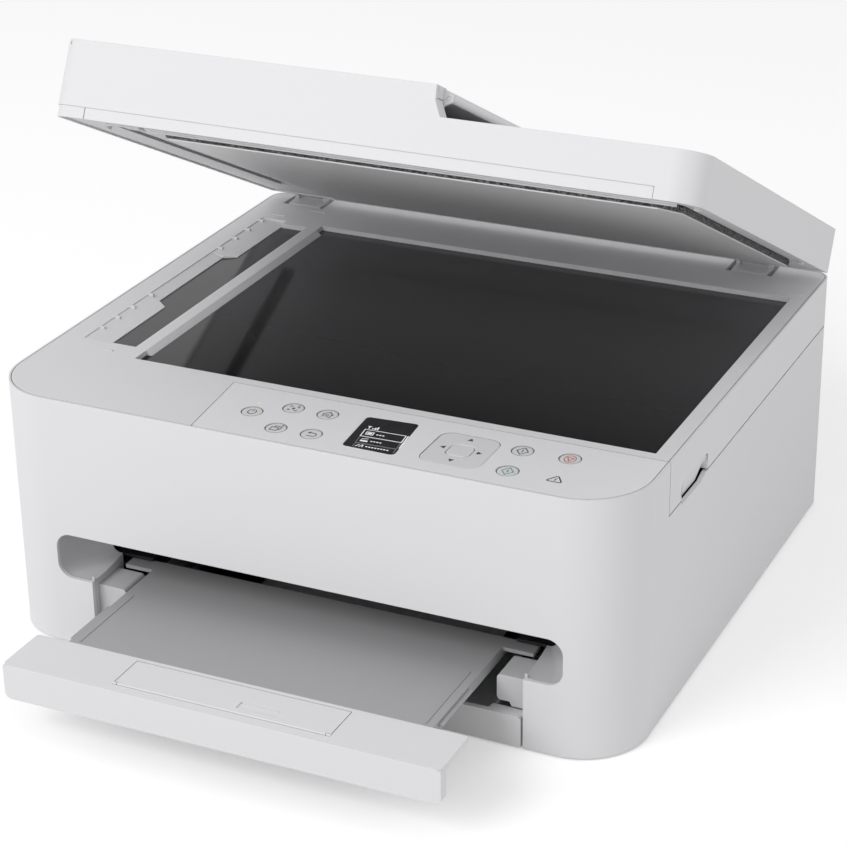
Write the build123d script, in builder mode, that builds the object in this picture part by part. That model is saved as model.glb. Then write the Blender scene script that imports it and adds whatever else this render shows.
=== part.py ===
"""Desktop multifunction printer with its scanner lid open and its output tray drawn out.

Millimetres. X to the right, Y to the back, Z up. The origin is the centre of the footprint,
on the surface that the feet stand on.
"""

from build123d import *
from math import acos, cos, pi, radians, sin, tan
import os

os.makedirs("parts", exist_ok=True)

# Body
BODY_W = 379.0
BODY_D = 346.4
FRONT_Y = -BODY_D / 2
REAR_Y = BODY_D / 2
FRONT_R = 37.5
REAR_R = 10.0
WALL = 2.5
SKIRT_Z = 1.0
BED_Z = 151.8
PLATE_T = 3.0
LEDGE_Z = BED_Z - PLATE_T
RIM_T = 1.1
SEAM = 0.4
CASE_TOP = 120.3
SCANNER_Z = 121.2
SPLIT_Y = -113.2
SCANNER_Y = -112.6
FAR = 400.0

# Paper path, centred a little to the right of the body
PATH_X = 3.0
MOUTH_W = 304.5
MOUTH_X = 3.25
MOUTH_Z0 = 42.6
MOUTH_Z1 = 69.8
MOUTH_R = 9.0
BAY_HALF = 130.4
CHANNEL_HALF = 133.0
RAIL_TOP = 39.8
PAPER_Z = 55.5
ROLLER_Z = 49.5
ROLLER_R = 6.0
SHAFT_R = 3.0
FEED_Y = 10.0
EJECT_Y = -72.0
IDLE_Y = (FEED_Y + EJECT_Y) / 2
RUNNING_FIT = 0.06

# Operation panel
PANEL_REAR = -113.4
PANEL_SEAM = ((-64.8, -113.0), (-58.2, -175.0))
KEY_R = 5.6
KEY_GAP = 0.3
KEY_TOP = BED_Z - 0.15
BOARD_TOP = 138.6

# Bed: document glass, feeder glass and their bezels
GLASS_X0 = -132.0
GLASS_X1 = 179.0
GLASS_Y0 = -106.5
GLASS_Y1 = 125.0
STRIP_Y0 = -92.0
STRIP_Y1 = 119.0
STRIP_X1 = -140.0
BEZEL_X = -174.6
BEZEL_REAR = 124.6
BEZEL_IN = -166.4
TAB_IN = -158.5
BEZEL_STEP = 0.5
GLASS_T = 3.0

# Lid, which rests open on friction hinges
HINGE_Y = 170.0
HINGE_Z = 157.0
LID_ANGLE = radians(26.83)
LID = Plane(
    origin=(0, HINGE_Y, HINGE_Z),
    x_dir=(1, 0, 0),
    z_dir=(0, sin(LID_ANGLE), cos(LID_ANGLE)),
)
LID_FRONT = -285.1
LID_REAR = -4.0
LIP_SET = 0.72
LIP_Z0 = -4.27
LIP_Z1 = 2.3
LOW_Z = 22.63
FEEDER_Z = 39.43
STEP_TOP_X = 38.7
STEP_X = 43.6
KNUCKLE_R = 4.3
PIN_R = 2.0
HINGE_BLOCKS = ((-172.6, -149.6), (131.5, 154.5))
EAR_T = 2.5
LID_CORNER_R = 16.0
LID_BACK_R = 6.0
LID_LEFT_R = 9.0
LIP_SEAM_X = 165.8

# Scanner hinge, two knuckle hinges along the rear seam
SCAN_PIN = (171.0, 120.75)
SCAN_KNUCKLE_R = 2.2
SCAN_PIN_R = 1.0
SCAN_HINGES = (-122.0, 122.0)
KNUCKLE_IN = 3.0
KNUCKLE_OUT = 9.0

# Output tray and cassette
TRAY_Z0 = 40.1
TRAY_Z1 = 42.3
TRAY_HALF = 107.3
TRAY_REAR = -136.0
PLATE_HALF = 127.0
PLATE_REAR = -234.0
TRAY_FRONT = -268.0
LIP_T = 6.2
LIP_LOW = 21.6
CASSETTE_HALF = 129.2
CASSETTE_TOP = 19.6
CASSETTE_FLOOR = 2.6


def block(x0, x1, y0, y1, z0, z1, mode=Mode.ADD):
    """A straight block between two corners, for ledges, ribs, lugs and cuts."""
    with Locations(((x0 + x1) / 2, (y0 + y1) / 2, (z0 + z1) / 2)):
        Box(x1 - x0, y1 - y0, z1 - z0, mode=mode)


def field(x0, x1, y0, y1, mode=Mode.ADD):
    """A rectangle between two corners of a sketch."""
    with Locations(((x0 + x1) / 2, (y0 + y1) / 2)):
        Rectangle(x1 - x0, y1 - y0, mode=mode)


def rod(radius, x0, x1, y, z, mode=Mode.ADD):
    """A round bar or bore along X."""
    with Locations(((x0 + x1) / 2, y, z)):
        Cylinder(radius, x1 - x0, rotation=(0, 90, 0), mode=mode)


def body_plan(inset):
    """The body's outline from above: wide front corners, tight rear ones."""
    with BuildSketch() as plan:
        Rectangle(BODY_W - 2 * inset, BODY_D - 2 * inset)
        fillet(plan.vertices().group_by(Axis.Y)[0], FRONT_R - inset)
        fillet(plan.vertices().group_by(Axis.Y)[-1], REAR_R - inset)
    return plan.sketch


def lid_plan(inset):
    """The lid's outline from above, in the lid's own frame."""
    with BuildSketch() as plan:
        field(-BODY_W / 2 + inset, BODY_W / 2 - inset, LID_FRONT + inset, LID_REAR - inset)
        front = plan.vertices().group_by(Axis.Y)[0].sort_by(Axis.X)
        rear = plan.vertices().group_by(Axis.Y)[-1]
        fillet(front[0], LID_LEFT_R - inset)
        fillet(plan.vertices().group_by(Axis.Y)[0].sort_by(Axis.X)[-1], LID_CORNER_R - inset)
        fillet(rear, LID_BACK_R - inset)
    return plan.sketch


def lid_level(z):
    """A sketch plane parallel to the lid, at a height in its frame."""
    return LID.offset(z)


def lid_section(y):
    """A sketch plane across the lid: X to the right, the lid's own Z up."""
    return Plane(origin=LID.from_local_coords((0, y, 0)), x_dir=(1, 0, 0), z_dir=-LID.y_dir)


def side_plane(x):
    """A sketch plane seen from the right: Y across, Z up."""
    return Plane(origin=(x, 0, 0), x_dir=(0, 1, 0), z_dir=(1, 0, 0))


outer_plan = body_plan(0.0)
inner_plan = body_plan(WALL)
rim_plan = body_plan(RIM_T)
plate_plan = body_plan(RIM_T + SEAM)
lid_outer = lid_plan(0.0)
lid_inner = lid_plan(WALL)
lip_outer = lid_plan(LIP_SET)
lip_inner = lid_plan(LIP_SET + 2.2)
cover_plan = lid_plan(WALL + 0.5)

# Main casing: one moulding, full height at the front, cut away behind for the scanner unit
GRIP_Y0 = -94.0
GRIP_Y1 = -59.0
COVER_HALF = 100.0
COVER_Z0 = 40.8
COVER_Z1 = 100.0
COVER_PIN = (171.2, 43.3)
COVER_PIN_R = 1.2
INLET = (-166.0, -146.0, 22.0, 38.0)
USB = (165.0, 178.0, 40.0, 54.0)

with BuildPart() as main_casing:
    with BuildSketch(Plane.XY.offset(SKIRT_Z)):
        add(outer_plan)
        add(inner_plan, mode=Mode.SUBTRACT)
    extrude(amount=BED_Z - SKIRT_Z)
    with BuildSketch(Plane.XY.offset(72.0)):
        add(inner_plan)
        field(-FAR, FAR, SPLIT_Y - WALL, SPLIT_Y, mode=Mode.INTERSECT)
    extrude(amount=LEDGE_Z - SEAM - 72.0)
    with BuildSketch(Plane.XY.offset(145.6)):
        add(inner_plan)
        field(-FAR, -60.0, -FAR, SPLIT_Y, mode=Mode.INTERSECT)
    extrude(amount=2.0)
    with BuildSketch(Plane.XY.offset(LEDGE_Z)):
        add(rim_plan)
    extrude(amount=PLATE_T, mode=Mode.SUBTRACT)
    with BuildSketch(Plane.XY.offset(CASE_TOP)):
        field(-FAR, FAR, SPLIT_Y, FAR)
    extrude(amount=FAR, mode=Mode.SUBTRACT)
    with BuildSketch(Plane.XZ.offset(-FRONT_Y + WALL)):
        with Locations((MOUTH_X, (MOUTH_Z0 + MOUTH_Z1) / 2)):
            RectangleRounded(MOUTH_W, MOUTH_Z1 - MOUTH_Z0, MOUTH_R)
        field(PATH_X - BAY_HALF, PATH_X + BAY_HALF, 0, MOUTH_Z0 + MOUTH_R)
    extrude(amount=-4 * WALL, mode=Mode.SUBTRACT)
    with BuildSketch(side_plane(BODY_W / 2 - 2 * WALL)):
        with BuildLine():
            Polyline(
                (GRIP_Y0, CASE_TOP + 1),
                (GRIP_Y0, 118.4),
                (GRIP_Y1 - 4, 118.0),
                (GRIP_Y1 + 7, CASE_TOP + 1),
                close=True,
            )
        make_face()
    extrude(amount=4 * WALL, mode=Mode.SUBTRACT)
    for side in (-1, 1):
        edge_x = PATH_X + side * (COVER_HALF + SEAM)
        lug = sorted((edge_x, edge_x + side * 4))
        block(lug[0], lug[1], 167.5, REAR_Y - WALL, 40.0, 47.0)
        rod(COVER_PIN_R + RUNNING_FIT, edge_x - 3, edge_x + 3, *COVER_PIN, mode=Mode.SUBTRACT)
    opening = COVER_HALF + SEAM
    block(PATH_X - opening, PATH_X + opening, 165, 175, 40.0, COVER_Z1 + SEAM, mode=Mode.SUBTRACT)
    with BuildSketch(side_plane(-BODY_W / 2)):
        Polygon(
            (REAR_Y - 1.5, CASE_TOP), (REAR_Y + 1, CASE_TOP), (REAR_Y + 1, CASE_TOP - 2.5), align=None,
        )
    extrude(amount=BODY_W, mode=Mode.SUBTRACT)
    for x in SCAN_HINGES:
        rod(SCAN_KNUCKLE_R + 0.3, x - KNUCKLE_IN - 0.3, x + KNUCKLE_IN + 0.3, *SCAN_PIN, mode=Mode.SUBTRACT)
        rod(SCAN_KNUCKLE_R, x - KNUCKLE_OUT, x - KNUCKLE_IN - 0.3, *SCAN_PIN)
        rod(SCAN_KNUCKLE_R, x + KNUCKLE_IN + 0.3, x + KNUCKLE_OUT, *SCAN_PIN)
        rod(SCAN_PIN_R, x - KNUCKLE_OUT, x + KNUCKLE_OUT, *SCAN_PIN)
    block(INLET[0], INLET[1], 165, 175, INLET[2], INLET[3], mode=Mode.SUBTRACT)
    block(USB[0], USB[1], 165, 175, USB[2], USB[3], mode=Mode.SUBTRACT)
    for y in (0.0, 130.0):
        for z in (25.0, 95.0):
            rod(3.0, 182.6, BODY_W / 2 - WALL, y, z)
main_casing.part.label = "main_casing"
export_step(main_casing.part, "parts/main_casing.step")

# Base chassis: floor pan, channel walls beside the cassette, and the rails of the output tray
PAN_T = 1.2
PAN_TOP = SKIRT_Z + PAN_T
FEET = ((-165.0, -145.0), (165.0, -145.0), (-165.0, 158.0), (165.0, 158.0))
FOOT_HOLE_R = 4.0
PICKUP_PIVOT = (60.0, 40.0)

with BuildPart() as base_chassis:
    with BuildSketch(Plane.XY.offset(SKIRT_Z)):
        add(inner_plan)
        field(-FAR, FAR, -FAR, -165.0, mode=Mode.SUBTRACT)
        with Locations(*FEET):
            Circle(FOOT_HOLE_R, mode=Mode.SUBTRACT)
    extrude(amount=PAN_T)
    for side in (-1, 1):
        wall_in = PATH_X + side * CHANNEL_HALF
        wall_out = PATH_X + side * (CHANNEL_HALF + WALL)
        x0 = min(wall_in, wall_out)
        x1 = max(wall_in, wall_out)
        with BuildSketch(side_plane(x0)):
            with BuildLine():
                Polyline(
                    (-140, PAN_TOP), (165, PAN_TOP), (165, 56), (24, 56), (20, 44.4), (-138, 44.4),
                    (-140, 37.8), close=True,
                )
            make_face()
            with Locations(PICKUP_PIVOT):
                Circle(2.5 + RUNNING_FIT, mode=Mode.SUBTRACT)
        extrude(amount=WALL)
        ledge = PATH_X + side * (TRAY_HALF + 1.7)
        guide = PATH_X + side * (TRAY_HALF + 4.7)
        block(min(ledge, wall_out), max(ledge, wall_out), -140, -35, RAIL_TOP - 2, RAIL_TOP)
        block(min(guide, wall_out), max(guide, wall_out), -138, -35, 42.8, 44.4)
    for y in (-110.0, 56.0):
        for side in (-1, 1):
            with BuildSketch(Plane.XZ.offset(-y)):
                foot_x = PATH_X + side * (CHANNEL_HALF + WALL)
                with BuildLine():
                    Polyline((foot_x, PAN_TOP), (foot_x + side * 24, PAN_TOP), (foot_x, 30), close=True)
                make_face()
            extrude(amount=1.5)
base_chassis.part.label = "base_chassis"
export_step(base_chassis.part, "parts/base_chassis.step")

# Four rubber feet pushed through holes in the pan, and a flat pad under its middle
FOOT_R = 8.0
with BuildPart() as feet:
    with Locations(*FEET, (0, 0)):
        Cylinder(FOOT_R, SKIRT_Z, align=(Align.CENTER, Align.CENTER, Align.MIN))
    with Locations(*[(x, y, SKIRT_Z) for x, y in FEET]):
        Cylinder(FOOT_HOLE_R, PAN_T, align=(Align.CENTER, Align.CENTER, Align.MIN))
    with Locations(*[(x, y, PAN_TOP) for x, y in FEET]):
        Cone(5.2, 3.4, 1.6, align=(Align.CENTER, Align.CENTER, Align.MIN))
feet.part.label = "feet"
export_step(feet.part, "parts/feet.step")

# Mouth cheek: a finger pocket that narrows inwards, above a stepped block
POCKET_T = 1.6
POCKET = (
    (-170.3, 155.4, 42.7, 69.7, 8.8),
    (-160.0, 153.6, 42.9, 69.5, 8.6),
    (-150.0, 148.4, 43.8, 68.6, 8.0),
    (-140.0, 139.6, 45.4, 67.2, 5.0),
)
POCKET_X = PATH_X + BAY_HALF
BLOCK_X0 = 115.9
BLOCK_TOP = 38.6
BLOCK_LOW = 23.2
BLOCK_FRONT = -166.7
STEP_LOW = 20.7
CHEEK_T = 1.6


def pocket_section(y, right, low, high, corner, grow):
    """One cross-section of the pocket, open towards the mouth."""
    with BuildSketch(Plane.XZ.offset(-y)) as section:
        field(POCKET_X - 8, right + grow, low - grow, high + grow)
        fillet(section.vertices().group_by(Axis.X)[-1], corner + grow)
    return section.sketch


with BuildPart() as cheek_right:
    loft([pocket_section(*row, POCKET_T) for row in POCKET])
    block(0, POCKET_X, -FAR, FAR, 0, FAR, mode=Mode.SUBTRACT)
    block(POCKET_X, POCKET_X + CHEEK_T, -170.7, -140, STEP_LOW, 45.0)
    with BuildSketch(Plane.XZ.offset(-BLOCK_FRONT)) as cheek_face:
        with BuildLine():
            Polyline(
                (BLOCK_X0, BLOCK_TOP), (BLOCK_X0, BLOCK_LOW), (123.2, BLOCK_LOW), (124.2, STEP_LOW),
                (POCKET_X + CHEEK_T, STEP_LOW), (POCKET_X + CHEEK_T, BLOCK_TOP), close=True,
            )
        make_face()
        fillet(cheek_face.vertices().group_by(Axis.X)[0], 2.4)
    extrude(amount=-21.0)
    block(BLOCK_X0 + 2, POCKET_X, BLOCK_FRONT + 2, -140, BLOCK_LOW + 1.5, BLOCK_TOP - 2, mode=Mode.SUBTRACT)
    loft([pocket_section(*row, 0.0) for row in POCKET], mode=Mode.SUBTRACT)
cheek_right.part.label = "cheek_right"
export_step(cheek_right.part, "parts/cheek_right.step")

with BuildPart() as cheek_left:
    mirror(cheek_right.part, about=Plane.YZ.offset(PATH_X))
cheek_left.part.label = "cheek_left"
export_step(cheek_left.part, "parts/cheek_left.step")

# Operation panel with its holes, and the posts that carry its board
ROUND_KEYS = {
    "power_button": (-37.1, -143.2),
    "code_button": (-18.5, -130.8),
    "home_button": (2.1, -130.8),
    "copy_button": (-15.5, -156.6),
    "back_button": (5.2, -156.0),
    "start_mono_button": (114.9, -130.8),
    "start_colour_button": (117.0, -155.5),
    "stop_button": (140.9, -129.8),
}
PAD_X = 85.0
PAD_Y = -143.0
PAD_W = 34.0
PAD_D = 37.0
CENTRE_W = 13.0
CENTRE_R = 3.6
WINDOW = ((25.8, -161.7), (22.7, -124.6), (52.5, -122.6), (56.1, -162.2))
WINDOW_T = 1.6
POSTS = ((-48.0, -125.0), (12.0, -143.0), (62.0, -125.0), (62.0, -162.0), (150.0, -143.0))

with BuildPart() as operation_panel:
    with BuildSketch(Plane.XY.offset(LEDGE_Z)):
        add(plate_plan)
        Polygon(
            (PANEL_SEAM[0][0] + SEAM, PANEL_REAR),
            (FAR, PANEL_REAR),
            (FAR, PANEL_SEAM[1][1]),
            (PANEL_SEAM[1][0] + SEAM, PANEL_SEAM[1][1]),
            align=None,
            mode=Mode.INTERSECT,
        )
        with Locations(*ROUND_KEYS.values()):
            Circle(KEY_R + KEY_GAP, mode=Mode.SUBTRACT)
        with Locations((PAD_X, PAD_Y)):
            RectangleRounded(PAD_W + 2 * KEY_GAP, PAD_D + 2 * KEY_GAP, 7.3, mode=Mode.SUBTRACT)
    extrude(amount=PLATE_T)
    with BuildSketch(Plane.XY.offset(BED_Z - WINDOW_T)) as window_seat:
        Polygon(*WINDOW, align=None)
        fillet(window_seat.vertices(), 2.5)
    extrude(amount=WINDOW_T, mode=Mode.SUBTRACT)
    with BuildSketch(Plane.XY.offset(BOARD_TOP)):
        with Locations(*POSTS):
            Circle(2.6)
    extrude(amount=LEDGE_Z - BOARD_TOP)
operation_panel.part.label = "operation_panel"
export_step(operation_panel.part, "parts/operation_panel.step")

with BuildPart() as display_window:
    with BuildSketch(Plane.XY.offset(BED_Z - WINDOW_T)) as window_outline:
        Polygon(*WINDOW, align=None)
        fillet(window_outline.vertices(), 2.5)
    extrude(amount=WINDOW_T - 0.1)
display_window.part.label = "display_window"
export_step(display_window.part, "parts/display_window.step")

# Panel board with a switch under each key
with BuildPart() as control_board:
    with BuildSketch(Plane.XY.offset(BOARD_TOP - 1.6)):
        field(-54, 154, -166, -118)
    extrude(amount=1.6)
    with BuildSketch(Plane.XY.offset(BOARD_TOP)):
        with Locations(*ROUND_KEYS.values(), (PAD_X, PAD_Y), (PAD_X - 12, PAD_Y), (PAD_X + 12, PAD_Y)):
            Rectangle(6, 6)
    extrude(amount=1.0)
control_board.part.label = "control_board"
export_step(control_board.part, "parts/control_board.step")

# Round keys: a cap in its hole, a flange under the panel, a stem to the switch
FLANGE_T = 1.0
FLANGE_TOP = LEDGE_Z - 0.3
STEM_Z = BOARD_TOP + 2.0

for key_name, key_place in ROUND_KEYS.items():
    with BuildPart() as round_key:
        with BuildSketch(Plane.XY.offset(FLANGE_TOP - FLANGE_T)):
            with Locations(key_place):
                Circle(KEY_R + 1.2)
        extrude(amount=FLANGE_T)
        with BuildSketch(Plane.XY.offset(FLANGE_TOP)):
            with Locations(key_place):
                Circle(KEY_R)
        extrude(amount=KEY_TOP - FLANGE_TOP)
        fillet(round_key.edges().group_by(Axis.Z)[-1], 0.4)
        with BuildSketch(Plane.XY.offset(STEM_Z)):
            with Locations(key_place):
                Circle(2.0)
        extrude(amount=FLANGE_TOP - FLANGE_T - STEM_Z)
    round_key.part.label = key_name
    export_step(round_key.part, f"parts/{key_name}.step")

# Direction pad, a rounded square ring, and the key in its middle
with BuildPart() as direction_pad:
    with BuildSketch(Plane.XY.offset(FLANGE_TOP)):
        with Locations((PAD_X, PAD_Y)):
            RectangleRounded(PAD_W, PAD_D, 7.0)
            hole = CENTRE_W + 2 * KEY_GAP
            RectangleRounded(hole, hole, CENTRE_R + KEY_GAP, mode=Mode.SUBTRACT)
    extrude(amount=KEY_TOP - FLANGE_TOP)
    fillet(direction_pad.edges().group_by(Axis.Z)[-1], 0.5)
    with BuildSketch(Plane.XY.offset(FLANGE_TOP - FLANGE_T)):
        with Locations((PAD_X, PAD_Y)):
            RectangleRounded(PAD_W + 2.4, PAD_D + 2.4, 8.2)
            RectangleRounded(CENTRE_W + 2.8, CENTRE_W + 2.8, CENTRE_R + 1.4, mode=Mode.SUBTRACT)
    extrude(amount=FLANGE_T)
    with BuildSketch(Plane.XY.offset(STEM_Z)):
        with Locations((PAD_X - 12, PAD_Y), (PAD_X + 12, PAD_Y)):
            Circle(2.0)
    extrude(amount=FLANGE_TOP - FLANGE_T - STEM_Z)
direction_pad.part.label = "direction_pad"
export_step(direction_pad.part, "parts/direction_pad.step")

with BuildPart() as centre_button:
    with BuildSketch(Plane.XY.offset(STEM_Z)):
        with Locations((PAD_X, PAD_Y)):
            Circle(2.0)
    extrude(amount=FLANGE_TOP - FLANGE_T - STEM_Z)
    with BuildSketch(Plane.XY.offset(FLANGE_TOP - FLANGE_T)):
        with Locations((PAD_X, PAD_Y)):
            RectangleRounded(CENTRE_W, CENTRE_W, CENTRE_R)
    extrude(amount=KEY_TOP - FLANGE_TOP + FLANGE_T)
    fillet(centre_button.edges().group_by(Axis.Z)[-1], 0.5)
centre_button.part.label = "centre_button"
export_step(centre_button.part, "parts/centre_button.step")

# Scanner tray: the tub that carries the bed and swings up from the casing
FLOOR_Z0 = 123.5
FLOOR_Z1 = 125.5
SCAN_ROD = (8.0, 132.0)
SCAN_ROD_R = 3.0
ROD_BOSS_X = 178.0
ROD_END = 183.0

with BuildPart() as scanner_tray:
    with BuildSketch(Plane.XY.offset(SCANNER_Z)):
        add(outer_plan)
        add(inner_plan, mode=Mode.SUBTRACT)
        field(-FAR, FAR, SCANNER_Y, FAR, mode=Mode.INTERSECT)
    extrude(amount=BED_Z - SCANNER_Z)
    with BuildSketch(Plane.XY.offset(SCANNER_Z)):
        add(outer_plan)
        field(-FAR, FAR, SCANNER_Y, SCANNER_Y + WALL, mode=Mode.INTERSECT)
    extrude(amount=LEDGE_Z - SCANNER_Z)
    with BuildSketch(Plane.XY.offset(FLOOR_Z0)):
        add(inner_plan)
        field(-FAR, FAR, SCANNER_Y, FAR, mode=Mode.INTERSECT)
    extrude(amount=FLOOR_Z1 - FLOOR_Z0)
    with BuildSketch(Plane.XY.offset(LEDGE_Z)):
        add(rim_plan)
    extrude(amount=PLATE_T, mode=Mode.SUBTRACT)
    for x in SCAN_HINGES:
        for side in (-1, 1):
            gap = sorted((x + side * KNUCKLE_IN, x + side * (KNUCKLE_OUT + 0.3)))
            rod(SCAN_KNUCKLE_R + 0.3, gap[0], gap[1], *SCAN_PIN, mode=Mode.SUBTRACT)
        rod(SCAN_KNUCKLE_R, x - KNUCKLE_IN, x + KNUCKLE_IN, *SCAN_PIN)
        rod(SCAN_PIN_R + RUNNING_FIT, x - KNUCKLE_IN, x + KNUCKLE_IN, *SCAN_PIN, mode=Mode.SUBTRACT)
    with BuildSketch(side_plane(BODY_W / 2 - 7.0)):
        field(-97.0, -51.0, SCANNER_Z, 133.0)
    extrude(amount=5.0)
    with BuildSketch(side_plane(BODY_W / 2 - 5.0)) as scoop:
        field(-95.0, -53.0, SCANNER_Z - 1, 131.0)
        fillet(scoop.vertices().group_by(Axis.Y)[0].sort_by(Axis.Z)[-1], 5.0)
        fillet(scoop.vertices().group_by(Axis.Y)[-1].sort_by(Axis.Z)[-1], 5.0)
    extrude(amount=8.0, mode=Mode.SUBTRACT)
    inner_x = BODY_W / 2 - WALL
    for boss in ((-inner_x, -ROD_BOSS_X), (ROD_BOSS_X, inner_x)):
        block(boss[0], boss[1], 2, 14, FLOOR_Z1, 138.5)
    rod(SCAN_ROD_R, -ROD_END, ROD_END, *SCAN_ROD, mode=Mode.SUBTRACT)
scanner_tray.part.label = "scanner_tray"
export_step(scanner_tray.part, "parts/scanner_tray.step")

# Bed frame: openings for both glasses, sloped bezels, hinge wells and the front tongue
with BuildPart() as scanner_top:
    with BuildSketch(Plane.XY.offset(LEDGE_Z)):
        add(plate_plan)
        Polygon(
            (PANEL_SEAM[0][0], SPLIT_Y + SEAM),
            (FAR, SPLIT_Y + SEAM),
            (FAR, PANEL_SEAM[1][1]),
            PANEL_SEAM[1],
            align=None,
            mode=Mode.SUBTRACT,
        )
        field(GLASS_X0, GLASS_X1, GLASS_Y0, GLASS_Y1, mode=Mode.SUBTRACT)
        for x0, x1 in HINGE_BLOCKS:
            field(x0 - 2.6, x1 + 3.2, 153.6, FAR, mode=Mode.SUBTRACT)
    extrude(amount=PLATE_T)
    block(-FAR, -50, -FAR, SPLIT_Y, LEDGE_Z, LEDGE_Z + SEAM, mode=Mode.SUBTRACT)
    with BuildSketch(Plane.XY.offset(LEDGE_Z)) as strip_opening:
        with BuildLine():
            Polyline(
                (STRIP_X1, STRIP_Y0), (TAB_IN, STRIP_Y0), (TAB_IN, -28), (BEZEL_IN, -22),
                (BEZEL_IN, 57), (TAB_IN, 61), (TAB_IN, STRIP_Y1), (STRIP_X1, STRIP_Y1), close=True,
            )
        make_face()
    extrude(amount=PLATE_T, mode=Mode.SUBTRACT)
    for inner, low, high in ((TAB_IN, STRIP_Y0, -22), (BEZEL_IN, -22, 57), (TAB_IN, 57, BEZEL_REAR)):
        with BuildSketch(Plane.XZ.offset(-high)):
            Polygon(
                (BEZEL_X, BED_Z - BEZEL_STEP), (inner + 1, LEDGE_Z + 0.4), (inner + 1, BED_Z + 1),
                (BEZEL_X, BED_Z + 1), align=None,
            )
        extrude(amount=high - low, mode=Mode.SUBTRACT)
    with BuildSketch(Plane.XZ.offset(-117.0)):
        Polygon((GLASS_X0, BED_Z), (GLASS_X0, LEDGE_Z), (-128.5, LEDGE_Z), align=None)
    extrude(amount=117.0 + 94.0)
    for y in (-74.5, -57.8, -40.5, -19.5, 65.3, 84.5, 101.0, 119.0):
        block(BEZEL_X - 1.2, BEZEL_X + 3.4, y - 0.8, y + 0.8, BED_Z - 1.5, BED_Z + 0.6)
    block(-172.5, -161.7, 131.3, 132.7, BED_Z, BED_Z + 0.5)
    block(-156.8, -149.0, -103.2, -101.8, BED_Z, BED_Z + 0.5)
    block(-151.5, -140.8, 146.8, 148.2, BED_Z, BED_Z + 0.5)
    block(175.4, 184.5, 130.0, 131.4, BED_Z, BED_Z + 0.5)
scanner_top.part.label = "scanner_top"
export_step(scanner_top.part, "parts/scanner_top.step")

with BuildPart() as platen_glass:
    with BuildSketch(Plane.XY.offset(LEDGE_Z - GLASS_T)):
        field(GLASS_X0 - 2, GLASS_X1 + 4, GLASS_Y0 - 3, GLASS_Y1 + 3)
    extrude(amount=GLASS_T)
platen_glass.part.label = "platen_glass"
export_step(platen_glass.part, "parts/platen_glass.step")

with BuildPart() as feed_glass:
    with BuildSketch(Plane.XY.offset(LEDGE_Z - GLASS_T)):
        field(BEZEL_IN - 3, STRIP_X1 + 3, STRIP_Y0 - 3, STRIP_Y1 + 3)
    extrude(amount=GLASS_T)
feed_glass.part.label = "feed_glass"
export_step(feed_glass.part, "parts/feed_glass.step")

# Scan carriage on its rod, below both glasses
with BuildPart() as scan_rod:
    rod(SCAN_ROD_R, -ROD_END, ROD_END, *SCAN_ROD)
scan_rod.part.label = "scan_rod"
export_step(scan_rod.part, "parts/scan_rod.step")

CARRIAGE_X = -153.0
with BuildPart() as scan_carriage:
    with BuildSketch(Plane.XY.offset(127.5)):
        with Locations((CARRIAGE_X, 9.0)):
            RectangleRounded(18, 226, 2)
    extrude(amount=17.5)
    block(CARRIAGE_X - 5, CARRIAGE_X + 5, -98, 116, 142.0, 145.0, mode=Mode.SUBTRACT)
    rod(SCAN_ROD_R + RUNNING_FIT, CARRIAGE_X - 10, CARRIAGE_X + 10, *SCAN_ROD, mode=Mode.SUBTRACT)
scan_carriage.part.label = "scan_carriage"
export_step(scan_carriage.part, "parts/scan_carriage.step")

# Lid hinges: blocks in the bed's wells, each with two ears and a pin
with BuildPart() as lid_hinges:
    for x0, x1 in HINGE_BLOCKS:
        with BuildSketch(side_plane(x0)):
            Polygon(
                (155.0, FLOOR_Z1), (REAR_Y - WALL, FLOOR_Z1), (REAR_Y - WALL, 151.4), (157.0, 151.4),
                (155.0, 150.0), align=None,
            )
        extrude(amount=x1 - x0)
        for ear_x in (x0, x1 - EAR_T):
            with BuildSketch(side_plane(ear_x)):
                field(HINGE_Y - 3.8, REAR_Y - WALL, 145.0, HINGE_Z)
                with Locations((HINGE_Y, HINGE_Z)):
                    Circle(KNUCKLE_R)
            extrude(amount=EAR_T)
        rod(PIN_R, x0 + EAR_T, x1 - EAR_T, HINGE_Y, HINGE_Z)
lid_hinges.part.label = "lid_hinges"
export_step(lid_hinges.part, "parts/lid_hinges.step")

# Lid underside: a plate inside a lip, with a slot over the feeder glass, two knuckles, a strip
# before the pad, and a boss, a curved rib and two small bumpers that meet the bed
UNDER_Z = -3.3
UNDER_T = 2.0
BUMPER_Z = -4.9
STRIP_LOW = -5.6
SLOT = (-160.0, -150.0, -262.0, -51.0)
RIB_CENTRE = (-146.0, -256.0)
RIB_R = 21.0

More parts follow.
